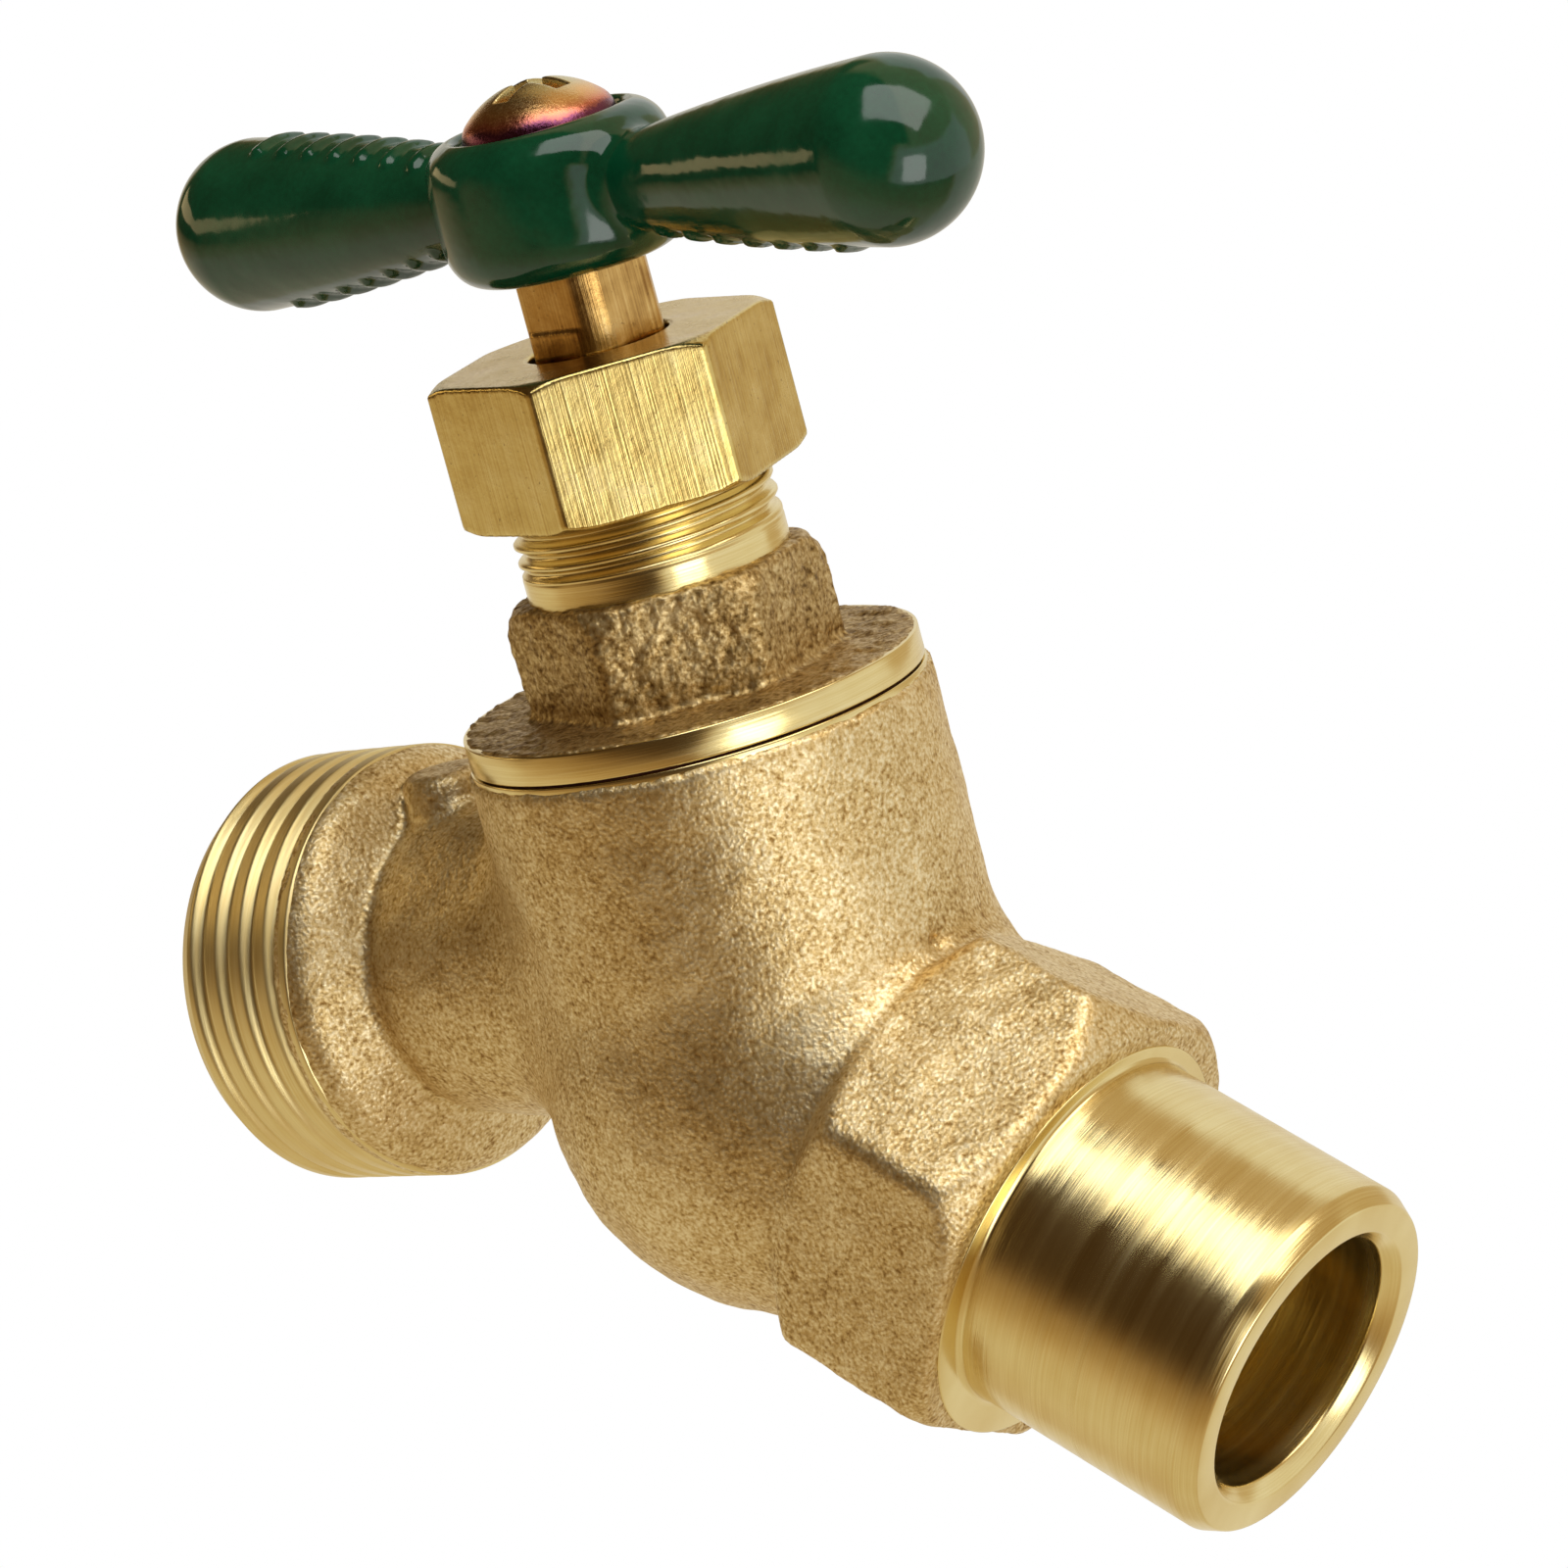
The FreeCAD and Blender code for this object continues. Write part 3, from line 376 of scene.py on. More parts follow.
# %% The inside of the casting
SEAT_TOP, SEAT_FLOOR, BRIDGE_BOTTOM = -17.9, -18.9, -21.4
UPPER_CHAMBER = [(-5.0, SEAT_FLOOR), (9.6, SEAT_FLOOR), (9.6, -8.0), (11.3, -7.6), (11.3, 2.0), (-5.0, 2.0)]
LOWER_CENTRE, LOWER_RADIUS = np.array([0.0, 0.0, -27.05]), 8.2
SEAT_RADIUS, PORT_RADIUS, PORT_OVERLAP, PORT_BOTTOM = 6.3, 4.8, 0.5, -24.0
OUTLET_BORE, OUTLET_BORE_START = 6.6, 7.9
INLET_BORE, INLET_BORE_START, MOUTH_RADIUS, MOUTH_START = 5.8, 4.0, 9.6, 22.0
BORE_EDGE = 0.3


def waterway(points):
    height, away = about(points)
    upper = outline_distance(away, height, UPPER_CHAMBER)
    seat = np.maximum(away - SEAT_RADIUS, height - SEAT_TOP)
    upper = np.maximum(upper, -seat)
    along, off = about(points, outlet_centre, outlet_axis)
    out = np.maximum(off - OUTLET_BORE, OUTLET_BORE_START - along)
    port = np.maximum(np.maximum(away - PORT_RADIUS, height - SEAT_TOP - PORT_OVERLAP), PORT_BOTTOM - height)
    low_wall = np.maximum(away - LOWER_RADIUS, np.maximum(height - BRIDGE_BOTTOM, LOWER_CENTRE[2] - height))
    low_floor = np.linalg.norm(points - LOWER_CENTRE, axis=1) - LOWER_RADIUS
    lower = np.minimum(low_wall, np.maximum(low_floor, height - BRIDGE_BOTTOM))
    along_in, off_in = about(points, inlet_centre, inlet_axis)
    inward = np.maximum(off_in - INLET_BORE, INLET_BORE_START - along_in)
    mouth = np.maximum(off_in - MOUTH_RADIUS, MOUTH_START - along_in)
    lower_half = np.minimum(np.minimum(lower, np.minimum(inward, mouth)), port)
    return np.minimum(np.minimum(upper, out), lower_half)


def casting(points):
    return soft_max(casting_outside(points), -waterway(points), BORE_EDGE)


BODY_BOX, BODY_CELL = ((-30.0, -16.2, -47.0), (30.0, 16.2, 0.6)), 0.5
points, faces = surface(casting, BODY_BOX, BODY_CELL)
SKIN = [(5.0, 0.035, 3), (1.9, 0.018, 4)]
cast_body = make_object("cast_body", to_model(roughen(casting, points, SKIN)), faces)

# %% [markdown]
# ## Turned pieces
# A lathe sweeps one outline round an axis, and so does this function: the outline's corners are given as
# (distance along the axis, radius), its long runs are divided, and its corners are eased by a small
# radius, because a sharp edge with no width never catches the light as a real one does.

# %% A lathe
LARGEST_SHARE = 0.4


def eased(corners, radius):
    """The outline with each corner cut into a small three-point arc."""
    made = []
    count = len(corners)
    for index, corner in enumerate(corners):
        here = np.array(corner, float)
        before, after = np.array(corners[index - 1], float), np.array(corners[(index + 1) % count], float)
        back, on = before - here, after - here
        reach = min(radius, np.linalg.norm(back) * LARGEST_SHARE, np.linalg.norm(on) * LARGEST_SHARE)
        start = here + back / np.linalg.norm(back) * reach
        end = here + on / np.linalg.norm(on) * reach
        made += [start, 0.5 * here + 0.25 * (start + end), end]
    return made


def divided(corners, longest, closed=True):
    """Adds points along an outline, so that no step is longer than the given one."""
    made = []
    for start, end in zip(corners, corners[1:] + corners[:1] if closed else corners[1:]):
        pieces = max(1, math.ceil(np.linalg.norm(end - start) / longest))
        made += [start + (end - start) * n / pieces for n in range(pieces)]
    return np.array(made if closed else made + [corners[-1]])


def lathe(corners, sides, longest=3.0, ease=0.12):
    """Points and faces of a ring round the Z axis, in millimetres."""
    outline = divided(eased(corners, ease), longest)
    turns = np.arange(sides) * (2 * math.pi / sides)
    along, radius = outline[:, 0], outline[:, 1]
    points = np.stack([radius[:, None] * np.cos(turns), radius[:, None] * np.sin(turns),
                       np.repeat(along[:, None], sides, 1)], axis=-1).reshape(-1, 3)
    rows, columns = len(outline), sides
    row, column = np.meshgrid(np.arange(rows), np.arange(columns), indexing="ij")
    after_row, after_column = (row + 1) % rows, (column + 1) % columns
    faces = np.stack([row * columns + column, row * columns + after_column,
                      after_row * columns + after_column, after_row * columns + column], -1).reshape(-1, 4)
    area = np.sum(along * np.roll(radius, -1) - radius * np.roll(along, -1))
    return points, faces if area < 0 else faces[:, ::-1]


def place(points, centre=STEM_CENTRE, axis=UP):
    """Points of a piece made round the Z axis, in millimetres, at their place in the model."""
    return to_model(centre + points @ np.stack([np.cross(stem_side, axis), stem_side, axis]))


def move_mesh(piece, centre=STEM_CENTRE, axis=UP):
    """Does the same with a mesh."""
    coordinates = np.empty(len(piece.data.vertices) * 3)
    piece.data.vertices.foreach_get("co", coordinates)
    piece.data.vertices.foreach_set("co", place(coordinates.reshape(-1, 3), centre, axis).ravel())
    piece.data.update()


# %% [markdown]
# ## Threads with Geometry Nodes
# A thread is one rule: how deep the tool has cut depends only on how far round and how far along a
# point lies. That suits Geometry Nodes. The tree takes a turned sleeve, works out each point's place
# between two turns, and moves the points of the outer wall inwards. The groove's bottom and the ridge's
# top are rounded, and the first and last turn fade out as the tool enters and leaves.

# %% One helper for every node tree
MATH, VECTOR_MATH, MAP_RANGE = "ShaderNodeMath", "ShaderNodeVectorMath", "ShaderNodeMapRange"


def add(tree, kind, inputs=(), output=0, **settings):
    """Adds a node, applies its settings, gives its inputs values or links, and returns one output."""
    node = tree.nodes.new(kind)
    for name, value in settings.items():
        setattr(node, name, value)
    for name, value in inputs.items() if isinstance(inputs, dict) else enumerate(inputs):
        if isinstance(value, bpy.types.NodeSocket):
            tree.links.new(value, node.inputs[name])
        else:
            node.inputs[name].default_value = value
    return node if output is None else node.outputs[output]


def product(tree, *values):
    total = values[0]
    for value in values[1:]:
        total = add(tree, MATH, (total, value), operation="MULTIPLY")
    return total


def from_whole(tree, value):
    """How far a value is from the nearest whole number."""
    whole = add(tree, MATH, (value,), operation="ROUND")
    difference = add(tree, MATH, (value, whole), operation="SUBTRACT")
    return add(tree, MATH, (difference,), operation="ABSOLUTE")


def hump(tree, distance, half, flat):
    """1 at the middle and 0 from half a width on, with smooth flanks; flat is the level share."""
    return add(tree, MAP_RANGE, {
        "Value": distance, "From Min": product(tree, half, flat), "From Max": half,
        "To Min": 1.0, "To Max": 0.0}, interpolation_type="SMOOTHSTEP")


def new_geometry_tree(name, sizes):
    """A tree with a named input for each size."""
    tree = bpy.data.node_groups.new(name, "GeometryNodeTree")
    tree.interface.new_socket("Geometry", in_out="INPUT", socket_type="NodeSocketGeometry")
    for label, value in sizes.items():
        socket = tree.interface.new_socket(label, in_out="INPUT", socket_type="NodeSocketFloat")
        socket.default_value = value
    tree.interface.new_socket("Finish", in_out="INPUT", socket_type="NodeSocketMaterial")
    tree.interface.new_socket("Geometry", in_out="OUTPUT", socket_type="NodeSocketGeometry")
    return tree, tree.nodes.new("NodeGroupInput").outputs


def end_geometry_tree(tree, given, moving):
    """Moves the points as told, and gives the result its finish."""
    moved = add(tree, "GeometryNodeSetPosition", {"Geometry": given["Geometry"], **moving})
    real = add(tree, "GeometryNodeRealizeInstances", (moved,))
    finish = add(tree, "GeometryNodeSetMaterial", {"Geometry": real, "Material": given["Finish"]})
    tree.links.new(finish, tree.nodes.new("NodeGroupOutput").inputs[0])
    return tree


THREAD_SIZES = {"Pitch": 2.2, "Depth": 0.9, "Crest Radius": 13.45, "Groove Share": 0.5,
                "First Groove": 0.0, "Start": 0.0, "End": 10.0, "Fade": 1.0}
GROOVE_FLOOR, THREAD_STOP = 0.12, 0.05


def build_thread_tree():
    tree, given = new_geometry_tree("cut a thread", THREAD_SIZES)
    here = add(tree, "GeometryNodeInputPosition")
    x, y, z = add(tree, "ShaderNodeSeparateXYZ", (here,), output=None).outputs
    around = add(tree, MATH, (y, x), operation="ARCTAN2")
    angle = add(tree, MATH, (around, 2 * math.pi), operation="DIVIDE")
    past_first = add(tree, MATH, (z, given["First Groove"]), operation="SUBTRACT")
    turns = add(tree, MATH, (past_first, given["Pitch"]), operation="DIVIDE")
    near = from_whole(tree, add(tree, MATH, (turns, angle), operation="SUBTRACT"))
    groove = hump(tree, near, product(tree, given["Groove Share"], 0.5), GROOVE_FLOOR)
    full = add(tree, MATH, (given["Start"], given["Fade"]), operation="ADD")
    after_start = add(tree, MAP_RANGE, {"Value": z, "From Min": given["Start"], "From Max": full})
    last = add(tree, MATH, (given["End"], THREAD_STOP), operation="SUBTRACT")
    before_end = add(tree, MAP_RANGE, {"Value": z, "From Min": given["End"], "From Max": last})
    depth = product(tree, groove, given["Depth"], after_start, before_end)
    flat = add(tree, "ShaderNodeCombineXYZ", (x, y))
    radius = add(tree, VECTOR_MATH, (flat,), output="Value", operation="LENGTH")
    bottom = add(tree, MATH, (given["Crest Radius"], depth), operation="SUBTRACT")
    above = add(tree, MATH, (radius, bottom), operation="SUBTRACT")
    cut = add(tree, MATH, (above, 0.0), operation="MAXIMUM")
    deepest = add(tree, MATH, (given["Crest Radius"], given["Depth"]), operation="SUBTRACT")
    outer = add(tree, "FunctionNodeCompare", (radius, deepest), data_type="FLOAT", operation="GREATER_THAN")
    outward = add(tree, VECTOR_MATH, (flat,), operation="NORMALIZE")
    move = add(tree, VECTOR_MATH, {0: outward, "Scale": product(tree, cut, -1.0)}, operation="SCALE")
    return end_geometry_tree(tree, given, {"Selection": outer, "Offset": move})


def run_tree(piece, tree, sizes, finish):
    """Runs a geometry tree on a piece, and keeps the result as its plain mesh."""
    modifier = piece.modifiers.new("shape", "NODES")
    modifier.node_group = tree
    for item in tree.interface.items_tree:
        if item.in_out == "INPUT" and item.name in sizes:
            modifier[item.identifier] = float(sizes[item.name])
        if item.in_out == "INPUT" and item.name == "Finish":
            modifier[item.identifier] = finish
    shaped = piece.evaluated_get(bpy.context.evaluated_depsgraph_get())
    mesh = bpy.data.meshes.new_from_object(shaped)
    piece.modifiers.remove(modifier)
    piece.data = mesh


thread_tree = build_thread_tree()
print("thread tree:", len(thread_tree.nodes), "nodes")

# %% [markdown]
# ## Colour
# Colours are written as the hex values a screen shows. Blender works with linear light, so one function
# turns a hex value into linear numbers.

# %% Hex colours to linear light
def colour(code):
    channels = [int(code[n:n + 2], 16) / 255 for n in (1, 3, 5)]
    linear = [c / 12.92 if c <= 0.04045 else ((c + 0.055) / 1.055) ** 2.4 for c in channels]
    return (*linear, 1.0)


# %% [markdown]
# ## Patterns at real sizes
# A Mapping node of the Texture kind divides by its scale and undoes its rotation. Given a real size in
# metres as the scale and the piece's own lean as the rotation, it hands the texture a coordinate that
# counts grains, and the texture's own scale stays at one.

# %% Coordinates in grains
def grains(tree, sizes_mm, lean=0.0, shift=(0.0, 0.0, 0.0)):
    """Coordinates that count grains of the given sizes."""
    return add(tree, "ShaderNodeMapping", {
        "Vector": add(tree, "ShaderNodeTexCoord", output="Object"), "Location": shift,
        "Rotation": (0.0, lean, 0.0), "Scale": [size * MM for size in sizes_mm]}, vector_type="TEXTURE")


def grain_noise(tree, sizes_mm, detail=2.0, roughness=0.5, lean=0.0):
    """Noise whose grains have one size each way, or three sizes."""
    sizes_mm = sizes_mm if isinstance(sizes_mm, tuple) else (sizes_mm,) * 3
    return add(tree, "ShaderNodeTexNoise", {
        "Vector": grains(tree, sizes_mm, lean), "Scale": 1.0, "Detail": detail, "Roughness": roughness},
        output="Fac")


def weighed(tree, *pairs):
    """A sum of values, each times its weight."""
    total, *parts = [product(tree, value, weight) for value, weight in pairs]
    for part in parts:
        total = add(tree, MATH, (total, part), operation="ADD")
    return total


# %% [markdown]
# ## What every finish does
# A finish has a colour that changes with some tone, a roughness that changes a little from place to
# place, and slopes of a real depth. Two functions link these, and each finish says only its own facts.

# %% Colour, roughness and slopes
def shaded(tree, tone, low, high, *stops):
    """Stretches a tone from its range to 0..1 and colours it by stops of (place, hex colour)."""
    whole = add(tree, MAP_RANGE, {"Value": tone, "From Min": low, "From Max": high})
    node = add(tree, "ShaderNodeValToRGB", {"Fac": whole}, output=None)
    while len(node.color_ramp.elements) < len(stops):
        node.color_ramp.elements.new(0.5)
    for element, (position, code) in zip(node.color_ramp.elements, stops):
        element.position = position
        element.color = colour(code)
    return node.outputs["Color"]


def dress(tree, shader, shade, uneven, rough, relief):
    """Links colour, a roughness (low, high, least, most) and slopes (height, depth in mm), lowest first."""
    names = ("From Min", "From Max", "To Min", "To Max")
    roughness = add(tree, MAP_RANGE, {"Value": uneven, **dict(zip(names, rough))})
    under = {}
    for height, depth_mm in relief:
        slopes = {"Height": height, "Distance": depth_mm * MM, "Strength": 1.0, **under}
        under = {"Normal": add(tree, "ShaderNodeBump", slopes)}
    for name, value in {"Base Color": shade, "Roughness": roughness, **under}.items():
        tree.links.new(value, shader.inputs[name])


def new_material(name, metallic=0.0):
    material = bpy.data.materials.new(name)
    material.use_nodes = True
    shader = material.node_tree.nodes["Principled BSDF"]
    shader.inputs["Metallic"].default_value = metallic
    return material, material.node_tree, shader


# %% [markdown]
# ## Sand-cast brass
# The mould's sand leaves a skin of grains about half a millimetre across. Tumbling brightens their tops,
# and the hollows between keep a brown film. So the eye sees a warm gold with brown in the low spots and
# small glints on the high ones, and no clear reflection.

# %% Cast finishes
def cast_finish(name, light, middle, dark, grain=0.3, depth=0.035, pebble=0.02):
    material, tree, shader = new_material(name, metallic=1.0)
    beads = add(tree, "ShaderNodeTexVoronoi", {"Vector": grains(tree, (grain,) * 3, STEM_LEAN), "Scale": 1.0},
                output="Distance", feature="SMOOTH_F1")
    fine = grain_noise(tree, grain * 0.9, 3.0, 0.65, STEM_LEAN)
    coarse = grain_noise(tree, grain * 4.0, lean=STEM_LEAN)
    cloud = grain_noise(tree, 6.0, lean=STEM_LEAN)
    tone = weighed(tree, (fine, 0.7), (coarse, 0.25), (cloud, 0.25), (beads, -0.4))
    shade = shaded(tree, tone, 0.2, 0.6, (0.0, dark), (0.45, middle), (1.0, light))
    dress(tree, shader, shade, fine, (0.35, 0.65, 0.58, 0.38),
          [(coarse, pebble), (fine, depth), (beads, -depth * 1.2)])
    return material


cast_brass = cast_finish("sand_cast_brass", "#F3E4BC", "#D4B980", "#9E7B44", 0.26)
cast_body.data.materials.append(cast_brass)
rough_brass = cast_finish("rough_sand_cast_brass", "#DEC896", "#AE915C", "#664B24", 0.32, 0.045, 0.035)

# %% [markdown]
# ## Turned brass
# A lathe tool leaves fine rings, so the pattern is squeezed along the axis and nearly even round it.
# Light smears across the rings, and their tiny slopes do that here through a bump.

# %% Turned finishes
def turned_finish(name, lean, ring_sizes, light="#F1E3AE", dark="#DAC07A", roughness=0.2, depth=0.01):
    material, tree, shader = new_material(name, metallic=1.0)
    rings = grain_noise(tree, ring_sizes, 3.0, 0.6, lean)
    wide = grain_noise(tree, tuple(size * 9 for size in ring_sizes), 1.0, 0.5, lean)
    tone = weighed(tree, (rings, 0.6), (grain_noise(tree, 4.0), 0.4))
    shade = shaded(tree, tone, 0.0, 1.0, (0.25, dark), (0.75, light))
    dress(tree, shader, shade, wide, (0.3, 0.7, roughness - 0.05, roughness + 0.08),
          [(wide, depth * 3), (rings, depth)])
    return material


RING, ROUND = 0.11, 9.0
turned_inlet = turned_finish("turned_brass_spigot", 0.0, (RING, ROUND, ROUND))
turned_outlet = turned_finish("turned_brass_outlet", STEM_LEAN + OUTLET_TILT, (RING, ROUND, ROUND),
                              roughness=0.38)
turned_stem = turned_finish("turned_brass_upright", STEM_LEAN, (ROUND, ROUND, RING))

# %% [markdown]
# ## The solder spigot
# A pipe fitting slides over the spigot, so it is turned to size, with a chamfer at its mouth and a bore
# for a smaller pipe. The tool also faces the casting round the spigot's root.

# %% Spigot
SPIGOT = [(20.4, 12.3), (21.6, 12.7), (21.62, 11.35), (21.85, 11.1), (37.0, 11.1), (38.2, 10.5), (38.2, 8.8),
          (37.4, 8.0), (25.5, 8.0), (25.5, 5.8), (20.4, 5.8)]
FACING_START, FACING_WIDTH = 11.3, 0.9
points, faces = lathe(SPIGOT, sides=256, longest=1.5)
beyond = np.clip((np.hypot(points[:, 0], points[:, 1]) - FACING_START) / FACING_WIDTH, 0.0, 1.0)
points[:, 0] -= FACING_SHIFT * beyond
inlet_spigot = make_object("inlet_spigot", place(points, inlet_centre, inlet_axis), faces, turned_inlet)

# %% [markdown]
# ## The hose thread
# The hose coupling screws on here: eleven and a half turns to the inch, cut in the turned collar.

# %% Collar and thread
HOSE_PITCH = 2.209
COLLAR = [(26.75, 12.9), (27.05, COLLAR_RADIUS), (35.9, COLLAR_RADIUS), (37.2, 12.65), (37.2, 9.2),
          (28.2, 9.2), (25.2, 6.6), (23.4, 6.6), (23.4, 8.0), (27.7, 8.0), (27.7, 12.0), (26.75, 12.5)]
points, faces = lathe(COLLAR, sides=300, longest=0.13, ease=0.08)
hose_collar = make_object("hose_collar", points, faces)
run_tree(hose_collar, thread_tree, {
    "Pitch": HOSE_PITCH, "Depth": 0.55, "Crest Radius": COLLAR_RADIUS, "Groove Share": 0.6,
    "First Groove": 27.6, "Start": 27.25, "End": 37.4, "Fade": 0.5}, turned_outlet)
move_mesh(hose_collar, outlet_centre + COLLAR_SHIFT, outlet_axis)

# %% [markdown]
# ## The joint
# The casting's top is faced flat for the gasket, so a thin bright ring shows under the bonnet.

# %% Rim of the body
RIM = [(-1.1, 12.6), (-0.6, 13.85), (-0.08, 13.85), (-0.08, 13.4), (-0.15, 13.35), (-0.15, 11.35),
       (-1.1, 11.35)]
points, faces = lathe(RIM, sides=256, longest=2.0, ease=0.08)
body_rim = make_object("body_rim", place(points), faces, turned_stem)

# %% [markdown]
# ## The bonnet
# The bonnet is a small casting of its own: a flange that sits on the body and a rough hexagon for the
# wrench. Its skin is coarser than the body's, pebbled enough to be modelled. A turned cone and a fine
# thread for the packing nut stand on top, and the flange's rim is turned bright.

# %% Cast part of the bonnet
FLANGE_RADIUS, FLANGE_BOTTOM, FLANGE_TOP = 13.6, 0.4, 1.92
BONNET_HEX_BOTTOM, BONNET_HEX_TOP, BONNET_HEX_INNER, BONNET_HEX_DRAFT = 0.9, 8.75, 8.18, 0.03
CROWN_RADIUS, CROWN_SLOPE, BONNET_BORE = 8.75, (0.6, 0.8), 6.4
BONNET_EDGE, BONNET_TOP_EDGE, BONNET_FILLET, FLANGE_EDGE = 0.5, 0.4, 0.6, 0.2
hex_corner = heading(43.8)


def bonnet_casting(points):
    height, away = about(points)
    inner = BONNET_HEX_INNER + BONNET_HEX_DRAFT * np.clip(height, 0.0, 9.0)
    flats = hexagon_distance(points, STEM_CENTRE, UP, hex_corner, inner, BONNET_EDGE)
    crown = cone(height, BONNET_HEX_TOP, away, CROWN_RADIUS, CROWN_SLOPE)
    prism = soft_max(soft_max(flats, crown, BONNET_EDGE), height - BONNET_HEX_TOP, BONNET_TOP_EDGE)
    prism = np.maximum(prism, BONNET_HEX_BOTTOM - height)
    level = np.maximum(height - FLANGE_TOP, FLANGE_BOTTOM - height)
    flange = soft_max(away - FLANGE_RADIUS, level, FLANGE_EDGE)
    return soft_max(soft_min(prism, flange, BONNET_FILLET), BONNET_BORE - away, FLANGE_EDGE)


BONNET_BOX, BONNET_CELL = ((-14.2, -14.2, -0.2), (14.2, 14.2, 9.6)), 0.25
points, faces = surface(bonnet_casting, BONNET_BOX, BONNET_CELL, rounds=1)
PEBBLES = [(3.2, 0.03, 7), (1.3, 0.03, 8), (0.8, 0.02, 9)]
points = roughen(bonnet_casting, points, PEBBLES)
cast_bonnet = make_object("cast_bonnet", to_model(points), faces, rough_brass)

# %% Turned parts of the bonnet
FLANGE_RIM = [(0.15, 11.3), (0.15, 13.35), (0.07, 13.4), (0.07, 13.8), (1.84, 13.8), (1.84, 13.3),
              (1.2, 12.6), (1.2, 11.3)]
points, faces = lathe(FLANGE_RIM, sides=256, longest=2.0, ease=0.09)
flange_rim = make_object("flange_rim", place(points), faces, turned_stem)

FINE_PITCH = 1.1
CREST = 7.9
NECK = [(7.4, CREST), (8.6, 8.72), (9.0, 8.62), (9.12, 8.52), (9.85, 8.15), (10.12, CREST), (10.3, 7.86),
        (10.42, CREST), (17.9, CREST), (18.32, 7.5), (18.32, 5.9), (10.72, 5.9), (10.72, 4.03), (8.42, 4.03),
        (8.42, 5.74), (7.15, 5.74), (7.15, 4.87), (-4.05, 4.87), (-4.05, 8.0), (-6.85, 8.0), (-6.85, 10.25),
        (-6.2, 10.95), (-1.05, 10.95), (-1.05, 10.1), (1.0, 10.1), (1.0, CREST)]
points, faces = lathe(NECK, sides=190, longest=0.14, ease=0.06)
bonnet_neck = make_object("bonnet_neck", points, faces)
run_tree(bonnet_neck, thread_tree, {
    "Pitch": FINE_PITCH, "Depth": 0.58, "Crest Radius": CREST, "Groove Share": 0.86,
    "First Groove": 11.53, "Start": 10.3, "End": 18.4, "Fade": 0.6}, turned_stem)
move_mesh(bonnet_neck)

# %% [markdown]
# ## The packing nut
# The nut is cut from drawn hexagon bar and chamfered top and bottom, so each flat ends in a curve. Its
# flats keep the marks of the drawing die along the bar, and its edges are crisp but not sharp.

# %% Drawn and worn brass
STAIN = "#6A4A22"


def drawn_finish(name, light, middle, dark, roughness, streak=(0.16, 0.16, 14.0)):
    material, tree, shader = new_material(name, metallic=1.0)
    streaks = grain_noise(tree, streak, 3.0, 0.6, STEM_LEAN)
    cloud = grain_noise(tree, 2.8, 3.0, 0.6, STEM_LEAN)
    specks = grain_noise(tree, 0.3, 2.0, 0.7, STEM_LEAN)
    tone = weighed(tree, (streaks, 0.45), (cloud, 0.55))
    shade = shaded(tree, tone, 0.0, 1.0, (0.3, dark), (0.5, middle), (0.7, light))
    stained = add(tree, MAP_RANGE, {"Value": specks, "From Min": 0.66, "From Max": 0.74})
    stains = {0: product(tree, stained, 0.55), 6: shade, 7: colour(STAIN)}
    shade = add(tree, "ShaderNodeMix", stains, output=2, data_type="RGBA")
    dress(tree, shader, shade, cloud, (0.3, 0.7, roughness - 0.05, roughness + 0.1),
          [(specks, 0.008), (cloud, 0.05), (streaks, 0.02)])
    return material


drawn_brass = drawn_finish("drawn_hexagon_brass", "#E8D597", "#D6BE77", "#B99A54", 0.19)
stem_brass = drawn_finish("worn_stem_brass", "#EACB8C", "#CCA562", "#8E6430", 0.2)

# %% Packing nut
NUT_BOTTOM, NUT_TOP, NUT_CEILING = 13.6, 22.57, 19.67
NUT_HALF_HEIGHT = 0.5 * (NUT_TOP - NUT_BOTTOM)
NUT_MIDDLE = np.array([0.0, 0.0, 0.5 * (NUT_BOTTOM + NUT_TOP)])
NUT_INNER, NUT_BEVEL, NUT_BEVEL_SLOPE = 9.05, 9.65, (0.88, 0.48)
NUT_EDGE, NUT_BEVEL_EDGE, NUT_MOUTH_EDGE = 0.16, 0.12, 0.15
nut_corner = heading(48.1)
NUT_INSIDE = [(-5.0, 12.0), (8.3, 12.0), (8.3, 14.2), (7.98, 14.6), (7.98, NUT_CEILING), (4.25, NUT_CEILING),
              (4.25, 24.0), (-5.0, 24.0)]


def packing_nut_shape(points):
    height, away = about(points, NUT_MIDDLE, UP)
    flats = hexagon_distance(points, STEM_CENTRE, UP, nut_corner, NUT_INNER, NUT_EDGE)
    bevel = cone(np.abs(height), NUT_HALF_HEIGHT, away, NUT_BEVEL, NUT_BEVEL_SLOPE)
    bar = soft_max(soft_max(flats, bevel, NUT_BEVEL_EDGE), np.abs(height) - NUT_HALF_HEIGHT, NUT_EDGE)
    return soft_max(bar, -outline_distance(away, height + NUT_MIDDLE[2], NUT_INSIDE), NUT_MOUTH_EDGE)


NUT_BOX, NUT_CELL = ((-11, -11, 13.2), (11, 11, 22.9)), 0.19
points, faces = surface(packing_nut_shape, NUT_BOX, NUT_CELL, rounds=0)
packing_nut = make_object("hexagon_packing_nut", to_model(points), faces, drawn_brass)

# %% [markdown]
# ## The stem
# The stem is turned from one bar: a socket at the foot for the disc holder, the coarse lifting thread,
# a plain shank that the packing grips, and four flats milled on the top for the handle.

